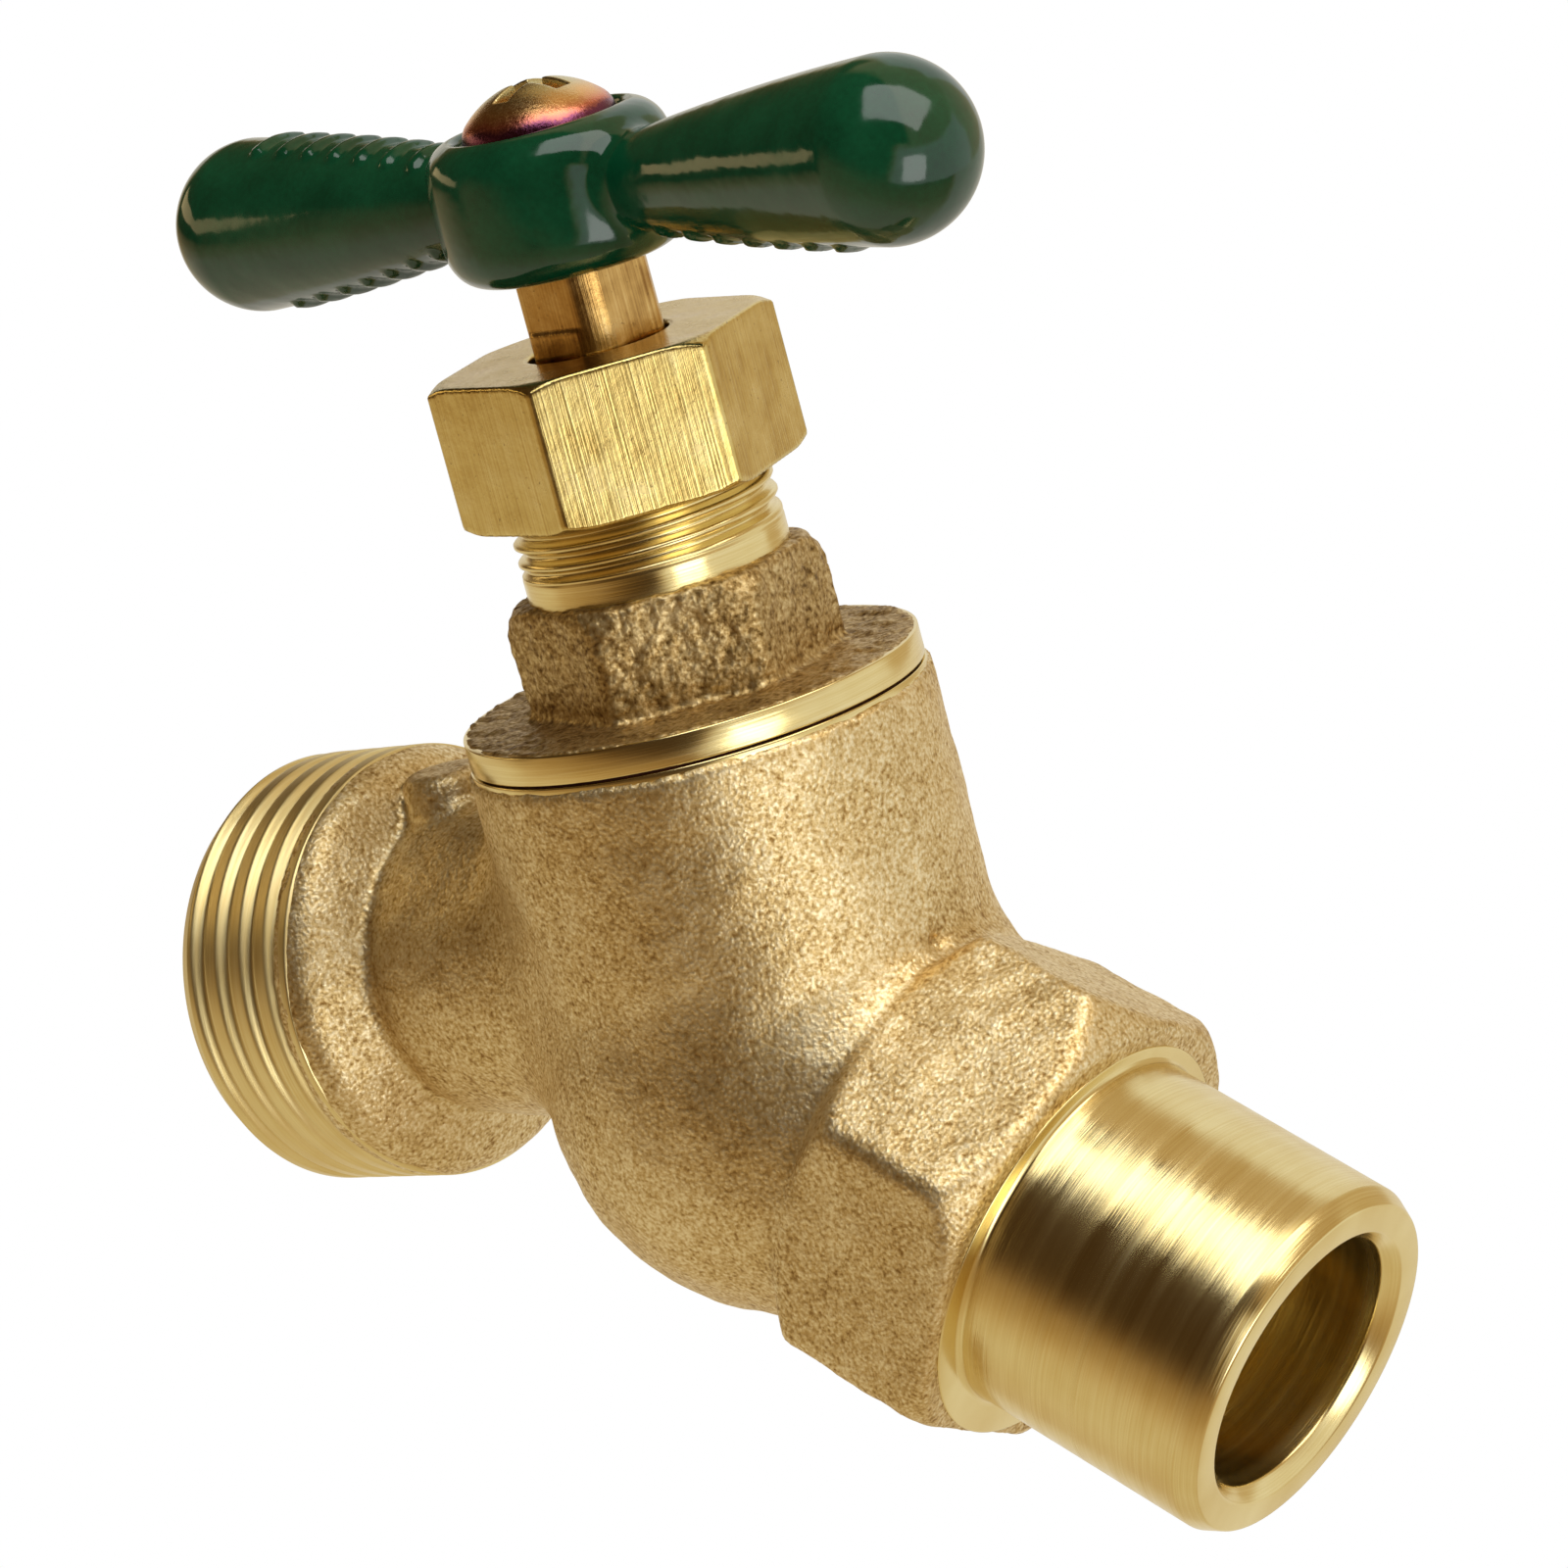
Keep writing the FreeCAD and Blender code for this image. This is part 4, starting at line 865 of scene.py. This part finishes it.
# %% Stem
HALF_FLATS, SQUARE_START = 3.5, 20.4
FLAT_TURN = math.radians(-0.7)
STEP_DEPTH, STEP_TOP = 0.14, 24.1
FILED_WAY, FILED_REACH = heading(42.0), 3.74
STEM_OUTLINE = [(-9.0, -8.7), (2.45, -8.7), (2.45, -10.2), (1.65, -10.2), (1.65, -12.7), (4.5, -12.7),
                (4.5, -7.65), (4.75, -7.65), (5.5, -6.9), (5.5, 1.2), (4.75, 1.95), (3.98, 1.95),
                (3.98, 34.8), (2.06, 34.8), (2.06, 25.2), (0.0, 23.2), (-9.0, 23.2)]
LIFT_PITCH, LIFT_CREST, LIFT_DEPTH = 2.54, 5.5, 0.72
LIFT_FLOOR, LIFT_FLANK, CLEAR = 1.3, 3.4, 2.0
TURNED_EDGE, MILLED_EDGE = 0.1, 0.14


def stem_shape(points):
    height, away = about(points)
    bar = outline_distance(away, height, STEM_OUTLINE)
    filed = np.minimum(points @ FILED_WAY - FILED_REACH, height - SQUARE_START)
    front = points[:, 0] * math.cos(FLAT_TURN) + points[:, 1] * math.sin(FLAT_TURN)
    left = points[:, 1] * math.cos(FLAT_TURN) - points[:, 0] * math.sin(FLAT_TURN)
    milled = np.minimum(np.maximum(np.abs(front), np.abs(left)) - HALF_FLATS, height - SQUARE_START)
    square = np.maximum(milled, np.minimum(left - HALF_FLATS + STEP_DEPTH, height - STEP_TOP))
    turns = height / LIFT_PITCH - np.arctan2(points[:, 1], points[:, 0]) / (2 * math.pi)
    groove = np.clip(LIFT_FLOOR - LIFT_FLANK * np.abs(turns - np.round(turns)), 0.0, 1.0) * LIFT_DEPTH
    thread = np.minimum(away - (LIFT_CREST - groove), CLEAR)
    return soft_max(soft_max(soft_max(bar, filed, TURNED_EDGE), square, MILLED_EDGE), thread, TURNED_EDGE)


STEM_BOX, STEM_CELL = ((-5.8, -5.8, -13.0), (5.8, 5.8, 35.1)), 0.2
points, faces = surface(stem_shape, STEM_BOX, STEM_CELL, rounds=0)
stem = make_object("turned_stem", to_model(points), faces, stem_brass)

# %% [markdown]
# ## The handle
# A tee of die-cast metal under stove enamel. Hub and lobes run into each other in wide fillets, because
# enamel and fingers both dislike corners. Grip ribs cross one lobe's top and both undersides. They repeat
# along the lobe, so Geometry Nodes raises them out of the finished surface, and they stay one skin.

# %% Handle shape
HUB_BOTTOM, HUB_TOP, HUB_RADIUS, HUB_OVAL, HUB_CROWN = 27.2, 36.0, 7.38, 0.3, 0.018
LOBE_START, LOBE_END, LOBE_HEIGHT, LOBE_DROOP = 4.0, 28.35, 31.75, 0.0045
LOBE_DEGREES, LOBE_ROOT, LOBE_GROWTH, LOBE_ROUNDING = -6.5, 1.28, 0.211, 0.00245
HUB_FOOT_EDGE, HUB_TOP_EDGE, LOBE_FILLET, RECESS_EDGE, HOLE_EDGE = 2.6, 2.4, 1.1, 0.6, 0.2
lobe_axis = heading(LOBE_DEGREES)
HANDLE_HOLE, RECESS_RADIUS, RECESS_FLOOR = 3.55, 5.05, 35.2


def lobe_radius(along):
    return LOBE_ROOT + LOBE_GROWTH * along - LOBE_ROUNDING * along * along


def handle_shape(points):
    height, away = about(points)
    middle = 0.5 * (HUB_BOTTOM + HUB_TOP)
    oval = HUB_OVAL * np.clip(2.0 * (points @ lobe_axis) ** 2 / np.maximum(away, 1.0) ** 2 - 1.0, -0.3, 1.0)
    wall = away - HUB_RADIUS - oval + HUB_CROWN * (height - middle) ** 2
    hub = soft_max(soft_max(wall, HUB_BOTTOM - height, HUB_FOOT_EDGE), height - HUB_TOP, HUB_TOP_EDGE)
    offset = points - np.array([0.0, 0.0, LOBE_HEIGHT])
    offset[:, 2] += LOBE_DROOP * (points @ lobe_axis)
    along = np.clip(np.abs(offset @ lobe_axis), LOBE_START, LOBE_END)
    nearest = np.sign(offset @ lobe_axis)[:, None] * along[:, None] * lobe_axis
    lobes = np.linalg.norm(offset - nearest, axis=1) - lobe_radius(along)
    whole = soft_min(hub, lobes, LOBE_FILLET)
    recess = np.maximum(away - RECESS_RADIUS, RECESS_FLOOR - height)
    hole = np.maximum(np.abs(points[:, 0]), np.abs(points[:, 1])) - HANDLE_HOLE
    return soft_max(soft_max(whole, -recess, RECESS_EDGE), -hole, HOLE_EDGE)


# %% [markdown]
# ## Grip ribs with Geometry Nodes
# The ribs follow one rule: they cross the lobe at an even pitch, inside a patch on its top or bottom. The
# tree reads each point's place along and around the lobe, works out how high a rib stands there, and
# moves the point out along its normal.

# %% The rib tree
RIB_SIZES = {"Pitch": 2.4, "Rib Width": 1.3, "Rib Height": 0.34, "Start": 10.2, "End": 25.8,
             "Half Span": 2.3, "Lobe Turn": math.radians(LOBE_DEGREES), "Lobe Height": LOBE_HEIGHT}
RIB_TOP = 0.25


def build_rib_tree():
    tree, given = new_geometry_tree("raise grip ribs", RIB_SIZES)
    here = add(tree, "GeometryNodeInputPosition")
    turn_back = product(tree, given["Lobe Turn"], -1.0)
    turned = add(tree, "ShaderNodeVectorRotate", {"Vector": here, "Angle": turn_back}, rotation_type="Z_AXIS")
    along, side, up = add(tree, "ShaderNodeSeparateXYZ", (turned,), output=None).outputs
    reach = add(tree, MATH, (along,), operation="ABSOLUTE")
    past_start = add(tree, MATH, (reach, given["Start"]), operation="SUBTRACT")
    count = add(tree, MATH, (past_start, given["Pitch"]), operation="DIVIDE")
    near = product(tree, given["Pitch"], from_whole(tree, count))
    half = product(tree, given["Rib Width"], 0.5)
    straight = add(tree, MATH, (given["Half Span"], half), operation="SUBTRACT")
    aside = add(tree, MATH, (side,), operation="ABSOLUTE")
    past_end = add(tree, MATH, (aside, straight), operation="SUBTRACT")
    beyond = add(tree, MATH, (past_end, 0.0), operation="MAXIMUM")
    squares = [add(tree, MATH, (way, 2.0), operation="POWER") for way in (near, beyond)]
    away = add(tree, MATH, (add(tree, MATH, squares, operation="ADD"),), operation="SQRT")
    first = add(tree, MATH, (given["Start"], half), operation="SUBTRACT")
    after = add(tree, MATH, (reach, first), operation="GREATER_THAN")
    before = add(tree, MATH, (reach, given["End"]), operation="LESS_THAN")
    low = add(tree, MATH, (up, given["Lobe Height"]), operation="LESS_THAN")
    outlet_side = add(tree, MATH, (along, 0.0), operation="GREATER_THAN")
    ribbed = add(tree, MATH, (low, outlet_side), operation="MAXIMUM")
    height = product(tree, hump(tree, away, half, RIB_TOP), given["Rib Height"], after, before, ribbed)
    normal = add(tree, "GeometryNodeInputNormal")
    move = add(tree, VECTOR_MATH, {0: normal, "Scale": height}, operation="SCALE")
    return end_geometry_tree(tree, given, {"Offset": move})


rib_tree = build_rib_tree()
print("rib tree:", len(rib_tree.nodes), "nodes")

# %% [markdown]
# ## Stove enamel
# The enamel is a glossy green paint, baked on. It pools a little, so its mirror is not quite flat:
# highlights keep crisp but wavy edges. A very fine dust under the gloss breaks up the green.

# %% Enamel
GLOSS_IOR = 1.55


def stove_enamel():
    material, tree, shader = new_material("green_stove_enamel")
    cloud, dust = grain_noise(tree, 3.5), grain_noise(tree, 0.35, 1.0)
    pooled = grain_noise(tree, 2.6, 2.0, 0.45)
    tone = weighed(tree, (cloud, 0.7), (dust, 0.3))
    shade = shaded(tree, tone, 0.0, 1.0, (0.3, "#03301A"), (0.7, "#074226"))
    shader.inputs["IOR"].default_value = GLOSS_IOR
    dress(tree, shader, shade, cloud, (0.3, 0.7, 0.08, 0.16), [(dust, 0.002), (pooled, 0.07)])
    return material


enamel = stove_enamel()

# %% Handle
HANDLE_BOX, HANDLE_CELL = ((-35, -9.5, 26), (35, 9.5, 38)), 0.24
points, faces = surface(handle_shape, HANDLE_BOX, HANDLE_CELL)
handle = make_object("tee_handle", points, faces)
run_tree(handle, rib_tree, RIB_SIZES, enamel)
move_mesh(handle)

# %% [markdown]
# ## The handle screw
# A domed screw with a cross recess. The recess narrows as it goes down, as the driver's point does.

# %% Yellow zinc
# Heights on the head over which its colour runs from dark purple to pale yellow: partly the zinc film's own
# colours, partly painted shade low down in the handle's recess.
FILM_AND_SHADE_LOW, FILM_AND_SHADE_HIGH = 35.6, 38.0


def yellow_zinc():
    material, tree, shader = new_material("iridescent_yellow_zinc", metallic=1.0)
    film, sparks = grain_noise(tree, 2.4), grain_noise(tree, 0.16, 2.0, 0.7)
    # Colour by height up the head, dark and purple low down and pale at the top: the zinc film's colours with
    # painted shade at the foot of the head.
    upright = grains(tree, (1.0,) * 3, STEM_LEAN, tuple(stem_base))
    height = add(tree, "ShaderNodeSeparateXYZ", (upright,), output="Z")
    height = add(tree, MAP_RANGE, {"Value": height, "From Min": FILM_AND_SHADE_LOW, "From Max": FILM_AND_SHADE_HIGH})
    tone = weighed(tree, (film, 0.35), (height, 1.0), (sparks, 0.2))
    shade = shaded(tree, tone, 0.1, 1.4, (0.0, "#4A2440"), (0.3, "#7A4260"), (0.42, "#D88468"),
                   (0.6, "#E9B877"), (0.85, "#CFC494"))
    dress(tree, shader, shade, sparks, (0.3, 0.7, 0.16, 0.34), [(sparks, 0.018)])
    return material


zinc = yellow_zinc()

# %% Handle screw
HEAD_RADIUS, HEAD_FLOOR, HEAD_TOP, DOME_RADIUS = 4.62, 35.2, 38.3, 5.9
SHANK_RADIUS, SCREW_END = 2.0, 27.2
CROSS_DEPTH, CROSS_HALF_SPAN, CROSS_HALF_WIDTH = 1.7, 3.2, 0.6
SPAN_TAPER, WIDTH_TAPER, END_SLOPE, DEEPEST = 1.5, 0.12, 0.7, 1.3
DOME_EDGE, HEAD_EDGE, CROSS_EDGE, SHANK_OVERLAP = 0.5, 0.2, 0.15, 0.5


def handle_screw_shape(points):
    height, away = about(points)
    dome = np.linalg.norm(points - np.array([0.0, 0.0, HEAD_TOP - DOME_RADIUS]), axis=1) - DOME_RADIUS
    head = soft_max(soft_max(away - HEAD_RADIUS, dome, DOME_EDGE), HEAD_FLOOR - height, HEAD_EDGE)
    level = np.maximum(SCREW_END - height, height - HEAD_FLOOR - SHANK_OVERLAP)
    shank = np.maximum(away - SHANK_RADIUS, level)
    deep = np.clip((HEAD_TOP - height) / CROSS_DEPTH, 0.0, DEEPEST)
    across, other = np.abs(points[:, 0]), np.abs(points[:, 1])
    long_side, short_side = np.maximum(across, other), np.minimum(across, other)
    ends = (long_side - CROSS_HALF_SPAN + SPAN_TAPER * deep) * END_SLOPE
    sides = short_side - CROSS_HALF_WIDTH + WIDTH_TAPER * deep
    arms = np.maximum(np.maximum(ends, sides), HEAD_TOP - CROSS_DEPTH - height)
    return soft_max(np.minimum(head, shank), -arms, CROSS_EDGE)


SCREW_BOX, SCREW_CELL = ((-5.0, -5.0, 27.0), (5.0, 5.0, 38.4)), 0.11
points, faces = surface(handle_screw_shape, SCREW_BOX, SCREW_CELL, rounds=0)
handle_screw = make_object("cross_recess_screw", to_model(points), faces, zinc)

# %% [markdown]
# ## Pieces join the bodies
# Each visual piece rides on the body of the CAD part it stands for, so the joints move it, and the CAD
# part steps back from the picture.

# %% Rides
STANDS_FOR = [
    (cast_body, "valve", "valve_body", "cast_brass"),
    (inlet_spigot, "valve", "valve_body", "turned_brass"),
    (hose_collar, "valve", "valve_body", "turned_brass"),
    (body_rim, "valve", "valve_body", "turned_brass"),
    (cast_bonnet, "valve", "bonnet", "cast_brass"),
    (flange_rim, "valve", "bonnet", "turned_brass"),
    (bonnet_neck, "valve", "bonnet", "turned_brass"),
    (packing_nut, "valve", "packing_nut", "drawn_brass"),
    (stem, "spindle", "stem", "turned_brass"),
    (handle, "spindle", "handle", "green_enamel"),
    (handle_screw, "spindle", "handle_screw", "plated_steel"),
]
for piece, body, node, slot in STANDS_FOR:
    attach(piece, body)
    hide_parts(node)

# %% [markdown]
# ## The parts inside
# The packing, its washer and follower, the gasket, and the disc with its washer and screw keep the CAD
# model's meshes. They show when the tap is taken apart, so each still has the finish of its own stuff.

# %% Finishes of the parts inside
def soft_finish(name, light, dark, grain, roughness, depth):
    material, tree, shader = new_material(name)
    grit = grain_noise(tree, grain, 3.0, 0.65)
    tone = weighed(tree, (grit, 0.6), (grain_noise(tree, grain * 8), 0.4))
    shade = shaded(tree, tone, 0.0, 1.0, (0.3, dark), (0.7, light))
    dress(tree, shader, shade, grit, (0.3, 0.7, roughness - 0.08, roughness + 0.08), [(grit, depth)])
    return material


graphite = soft_finish("pressed_graphite_packing", "#4A4A4E", "#26262A", 0.25, 0.45, 0.03)
rubber = soft_finish("moulded_black_rubber", "#333334", "#1E1E20", 0.5, 0.6, 0.01)
fibre = soft_finish("pressed_red_fibre", "#6B3020", "#3F170D", 0.3, 0.75, 0.02)
INSIDE = {"bonnet_gasket": fibre, "packing_washer": turned_stem, "lower_packing_ring": graphite,
          "upper_packing_ring": graphite, "packing_gland": turned_stem, "disc_holder": turned_stem,
          "seat_washer": rubber, "washer_screw": turned_stem}
for node, finish in INSIDE.items():
    for part_slot in bpy.data.objects[node].material_slots:
        part_slot.material = finish
print("finishes inside:", len(INSIDE))

# %% [markdown]
# ## Camera
# The photograph was taken from above and behind the inlet with a long lens. The camera's matrix is given
# by its three directions, because it is also rolled a little.

# %% Camera
LENS, SENSOR = 144.29, 36.0
camera_data = bpy.data.cameras.new("camera")
camera_data.lens, camera_data.sensor_width = LENS, SENSOR
camera = bpy.data.objects.new("camera", camera_data)
bpy.context.scene.collection.objects.link(camera)
RIGHT = (-0.76463, -0.62703, 0.14892)
ABOVE = (0.43750, -0.33536, 0.83434)
BACK = (-0.47321, 0.70311, 0.53075)
EYE = Vector((-0.1313, 0.2580, 0.2123))
camera.matrix_world = Matrix.Translation(EYE) @ Matrix((RIGHT, ABOVE, BACK)).transposed().to_4x4()
bpy.context.scene.camera = camera

# %% [markdown]
# ## Light
# The tap was lit by one broad soft box overhead and a small one low on the inlet's side, and cut out on
# white. Polished metal shows its surroundings, so a closed room stands round the tap, dark with a few
# bright panels, and brown where it is dark. A short warm strip stands near the outlet, where the hose
# thread looks. Only mirror rays see the two: they draw the bands in the brass and take no light away.

# %% World
scene = bpy.context.scene
scene.view_settings.view_transform = "Standard"
world = bpy.data.worlds.new("studio")
scene.world = world
world.use_nodes = True
sky = world.node_tree
rays = add(sky, "ShaderNodeLightPath", output=None).outputs
seen = add(sky, MATH, (rays["Is Camera Ray"], rays["Is Glossy Ray"]), operation="MAXIMUM")
seen = add(sky, MATH, (seen, rays["Is Transmission Ray"]), operation="MAXIMUM")
AMBIENT = 0.5
strength = add(sky, MATH, (product(sky, seen, 1.0 - AMBIENT), AMBIENT), operation="ADD")
sky.nodes["Background"].inputs["Color"].default_value = (1.0, 1.0, 1.0, 1.0)
sky.links.new(strength, sky.nodes["Background"].inputs["Strength"])

# %% Lamps
SUBJECT = Vector((0.045, 0.0, 0.022))


def soft_box(name, away, wide, high, brightness):
    """A lamp whose face has the given brightness, where 1 is white."""
    lamp = bpy.data.lights.new(name, "AREA")
    lamp.shape, lamp.size, lamp.size_y = "RECTANGLE", wide, high
    lamp.energy = brightness * math.pi * wide * high
    holder = bpy.data.objects.new(name, lamp)
    bpy.context.scene.collection.objects.link(holder)
    facing = (-Vector(away)).to_track_quat("-Z", "Y").to_matrix().to_4x4()
    holder.matrix_world = Matrix.Translation(SUBJECT + Vector(away)) @ facing


soft_box("overhead_soft_box", (-0.03, 0.05, 0.5), 0.62, 0.42, 2.6)
soft_box("low_side_soft_box", (-0.54, 0.21, 0.1), 0.27, 0.27, 2.6)

# %% Room
ROOM_OUTLINE = [(0.001, 1.1), (0.8, 0.95), (0.8, -0.1), (0.001, -0.1)]
ROOM_STEP, ROOM_BEARINGS = 0.02, np.radians(np.arange(0, 360, 3))
FLOOR_BELOW = -0.12
WARMTH = {"level": (0.05, 0.3, 0.6, 0.9), "red": (1.75, 1.46, 1.16, 1.0), "blue": (0.42, 0.48, 0.7, 1.0)}
FLOOR = {"reach": (0.0, 0.06, 0.12, 0.18, 0.22, 0.3, 0.8), "near": (0.5, 0.6, 0.58, 0.45, 0.38, 0.28, 0.14),
         "outlet": (0.5, 0.6, 0.62, 0.6, 0.4, 0.03, 0.02), "far": (0.6, 0.75, 0.75, 0.75, 0.75, 0.75, 0.75)}
WALL = {"elevation": (-8, -2, 6), "near": (0.14, 0.07, 0.035), "outlet": 0.035}
FAR_BEARINGS, INLET_BEARINGS = (212, 338, 12), (42, 338, 16)
PANELS = [(0.85, 134, 245, -20, 34), (0.5, 235, 285, -20, 38), (0.85, 278, 318, -20, 40),
          (0.4, 150, 335, 20, 99)]
PANEL_SOFT_SIDES, PANEL_SOFT_ENDS = 10, 8


def window(value, start, stop, soft):
    """1 between two values and 0 outside them, with soft edges."""
    rise, fall = np.clip((value - start) / soft + 0.5, 0, 1), np.clip((stop - value) / soft + 0.5, 0, 1)
    share = np.minimum(rise, fall)
    return share * share * (3 - 2 * share)


def room_level(points):
    """The brightness a mirror sees at each point of the room."""
    offset = points - np.array(SUBJECT)
    reach = np.hypot(offset[:, 0], offset[:, 1])
    bearing = np.degrees(np.arctan2(offset[:, 1], offset[:, 0])) % 360
    elevation = np.degrees(np.arctan2(offset[:, 2], reach))
    far, outlet = window(bearing, *FAR_BEARINGS), 1 - window(bearing, *INLET_BEARINGS)
    ground = np.interp(reach, FLOOR["reach"], FLOOR["near"])
    for share, kind in ((far, "far"), (outlet, "outlet")):
        ground = ground * (1 - share) + share * np.interp(reach, FLOOR["reach"], FLOOR[kind])
    wall = np.interp(elevation, WALL["elevation"], WALL["near"]) * (1 - outlet) + WALL["outlet"] * outlet
    for brightness, start, stop, low, high in PANELS:
        panel = brightness * window(bearing, start, stop, PANEL_SOFT_SIDES)
        wall = np.maximum(wall, panel * window(elevation, low, high, PANEL_SOFT_ENDS))
    return np.where(offset[:, 2] < FLOOR_BELOW, ground, wall)


HIDDEN_FROM = ("visible_camera", "visible_diffuse", "visible_shadow", "visible_transmission")


def mirror_card(name, points, faces, glow):
    """A card that only mirror rays see, with a colour of light at each point."""
    card = make_object(name, points, faces)
    attribute = card.data.attributes.new("glow", "FLOAT_COLOR", "POINT")
    attribute.data.foreach_set("color", glow.ravel())
    card.data.materials.append(card_light)
    for kind in HIDDEN_FROM:
        setattr(card, kind, False)


card_light = bpy.data.materials.new("card_light")
card_light.use_nodes = True
card_tree = card_light.node_tree
card_tree.nodes.clear()
card_glow = add(card_tree, "ShaderNodeAttribute", output="Color", attribute_name="glow")
card_shine = add(card_tree, "ShaderNodeEmission", {"Color": card_glow, "Strength": 1.0})
add(card_tree, "ShaderNodeOutputMaterial", {"Surface": card_shine}, output=None)

outline = divided([np.array(corner) for corner in ROOM_OUTLINE], ROOM_STEP, closed=False)
radius, height = outline[:, :1], outline[:, 1:]
points = np.stack([SUBJECT.x + radius * np.cos(ROOM_BEARINGS), radius * np.sin(ROOM_BEARINGS),
                   height + 0 * ROOM_BEARINGS], -1).reshape(-1, 3)
count = len(ROOM_BEARINGS)
faces = np.array([(r + c, r + (c + 1) % count, r + count + (c + 1) % count, r + count + c)
                  for r in range(0, len(points) - count, count) for c in range(count)])
level = room_level(points)
red, blue = (level * np.interp(level, WARMTH["level"], WARMTH[name]) for name in ("red", "blue"))
mirror_card("mirrored_room", points, faces, np.stack([red, level, blue, np.ones_like(level)], -1))

# %% Strip of light
STRIP_REACH, STRIP_LOW, STRIP_HIGH = 0.155, -0.004, 0.018
STRIP_BEARINGS = np.radians(np.arange(-8, 33, 4))
STRIP_COLOUR = (1.5, 1.1, 0.55, 1.0)
points = np.array([(SUBJECT.x + STRIP_REACH * math.cos(b), STRIP_REACH * math.sin(b), z)
                   for b in STRIP_BEARINGS for z in (STRIP_LOW, STRIP_HIGH)])
faces = np.array([(n, n + 1, n + 3, n + 2) for n in range(0, len(points) - 2, 2)])
mirror_card("light_strip", points, faces, np.tile(STRIP_COLOUR, (len(points), 1)))
